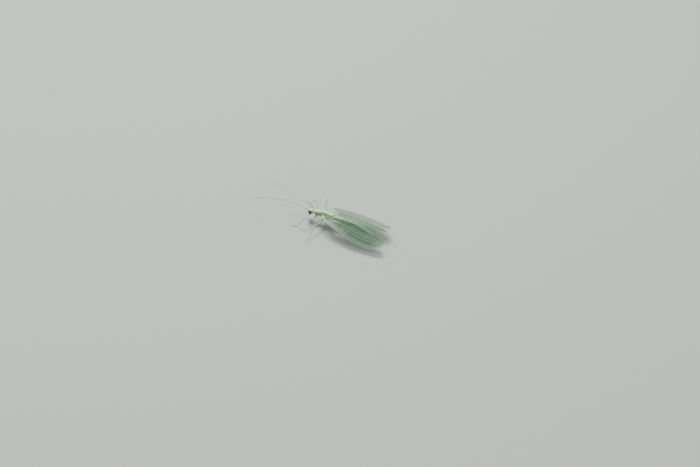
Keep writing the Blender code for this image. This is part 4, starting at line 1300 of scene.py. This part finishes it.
def growSkinHairs():
    corners = skinPoints[skinQuads]
    middle = corners.mean(axis=1)
    area = np.linalg.norm(np.cross(corners[:, 2] - corners[:, 0], corners[:, 3] - corners[:, 1]), axis=1) / 2
    x, y, z = middle.T
    off, part, share, lie, leg = nearestLeg(middle)
    onLeg = (off < coat["legReach"]) & ((part > 0) | (share > 0.4))
    headEnd, thoraxEnd = coat["regionEnds"]
    region = np.where(onLeg, 3, np.where(x < headEnd, 0, np.where(x < thoraxEnd, 1, 2)))
    rules = np.array(coat["regions"])
    weight = area * rules[region, 0]
    fromEye = (middle - face["eyeCentre"]) * (1, 0, 1) / face["eyeRadii"]
    underEye = (region == 0) & (np.linalg.norm(fromEye, axis=1) < 1.0) & (np.abs(y) > 0.3)
    weight[underEye | (z < coat["floor"])] = 0
    picked = chance.choice(len(area), coat["skinCount"], replace=False, p=weight / weight.sum())
    a, b = chance.random((2, len(picked), 1))
    quad = corners[picked]
    roots = (quad[:, 0] * (1 - a) + quad[:, 1] * a) * (1 - b) + (quad[:, 3] * (1 - a) + quad[:, 2] * a) * b
    normals = unit(skinNormals[skinQuads[picked]].mean(axis=1))
    rule, feet = rules[region[picked]], region[picked] == 3
    back = np.where(feet[:, None], lie[picked], (1.0, 0.0, -0.1))
    jitter = chance.normal(0, coat["jitter"], roots.shape)
    ways = normals * rule[:, 3:4] + back * rule[:, 4:5] * 0.6 + jitter
    lengths = rule[:, 1] + (rule[:, 2] - rule[:, 1]) * chance.random(len(picked)) ** 1.5
    # The trunk is rolled out along X above; each leg is a strip of its own below
    around = (np.arctan2(normals[:, 1], normals[:, 2]) / (2 * math.pi) + 0.5) % 1.0
    along = np.where(feet, (part + share)[picked] / 8.0, roots[:, 0] / 13.0)
    (low, tall), (legLow, legStep, legTall) = coat["trunkStrip"], coat["legStrips"]
    height = np.where(feet, legLow + legStep * leg[picked] + legTall * around, low + tall * around)
    spots = np.stack([coat["margin"] + coat["sheet"] * along, height], axis=1)
    hairs = roots - normals * coat["rooted"], ways, back * coat["bend"], lengths, spots
    for name, chosen, slot in (("bodyHairs", ~feet, "thorax_cuticle"), ("legHairs", feet, "leg_cuticle")):
        addHairs(name, *(values[chosen] for values in hairs), coat["thickness"], slot)


def growWingHairs(lines, name):
    # Fringes along the two edges, which come first, and shorter hairs along the other veins
    grown = []
    low, apart, tall = coat["wingStrips"]
    for number, (points, normals, places) in enumerate(lines):
        reach, edge = lengthAlong(points), number < 2
        step = coat["fringeStep" if edge else "veinStep"]
        at = np.arange(step / 2, reach[-1], step)
        table = np.column_stack([points, normals, np.gradient(points, axis=0), places])
        found = np.stack([np.interp(at, reach, column) for column in table.T], axis=1)
        spot, normal, ahead, place = found[:, :3], unit(found[:, 3:6]), unit(found[:, 6:9]), found[:, 9:]
        over = unit(np.cross(normal, ahead)) * (1 if number == 0 else -1)
        if edge:
            away = over * np.sign((over * (spot - points.mean(axis=0))).sum(axis=1, keepdims=True))
            shortest, more = coat["fringeLength"]
            lengths = coat["fringes"][number] * (shortest + more * chance.random(len(at)))
            ways = away + ahead * coat["fringeLean"] + normal * chance.normal(0, coat["fringeJitter"], (len(at), 1))
        else:
            flip = np.where(np.arange(len(at)) % 2 == 0, 1.0, -1.0)[:, None]
            above = np.where(chance.random((len(at), 1)) < coat["upper"], 1, -1)
            standing, aside, along = coat["veinLean"]
            ways = normal * standing * above + over * aside * flip + ahead * along
            lengths = chance.uniform(*coat["veinHair"], len(at))
        spots = np.clip((place + (0.04, 0.5)) / (1, 1.5), 0, 1) * (coat["sheet"], tall) + (coat["margin"], low)
        grown.append((spot, ways, lengths, spots))
    roots, ways, lengths, spots = (np.concatenate(values) for values in zip(*grown))
    roots, ways = (np.concatenate([values, values * (1, -1, 1)]) for values in (roots, ways))
    addHairs(name, roots, ways, np.zeros_like(roots), np.tile(lengths, 2),
             np.concatenate([spots, spots + (0, apart)]), coat["thickness"] * coat["finer"], "wing_membrane")


def growFeelerHairs():
    grown = []
    low, apart, tall = coat["feelerStrips"]
    for side, (line, thick) in feelerLines.items():
        ahead = unit(np.gradient(line, axis=0))
        for k in range(2, len(line) - 1, 4):
            across = unit(np.cross(ahead[k], (0, 0, 1.0)))
            rise = np.cross(ahead[k], across)
            for turn in chance.uniform(0, 2 * math.pi) + np.arange(6) * math.pi / 3:
                out = across * math.cos(turn) + rise * math.sin(turn)
                height = (low if side < 0 else low + apart) + tall * (turn / (2 * math.pi) % 1)
                grown.append((line[k] + out * thick[k] * 0.8, out * coat["feelerLean"] + ahead[k],
                              chance.uniform(*coat["feelerHair"]),
                              (coat["margin"] + coat["sheet"] * k / len(line), height)))
    roots, ways, lengths, spots = (np.array(values) for values in zip(*grown))
    addHairs("feelerHairs", roots, ways, np.zeros_like(roots), lengths, spots,
             coat["thickness"] * coat["finer"], "antenna_cuticle")


growSkinHairs()
growWingHairs(foreLines, "foreHairs")
growWingHairs(hindLines, "hindHairs")
growFeelerHairs()
print("hairs grown")
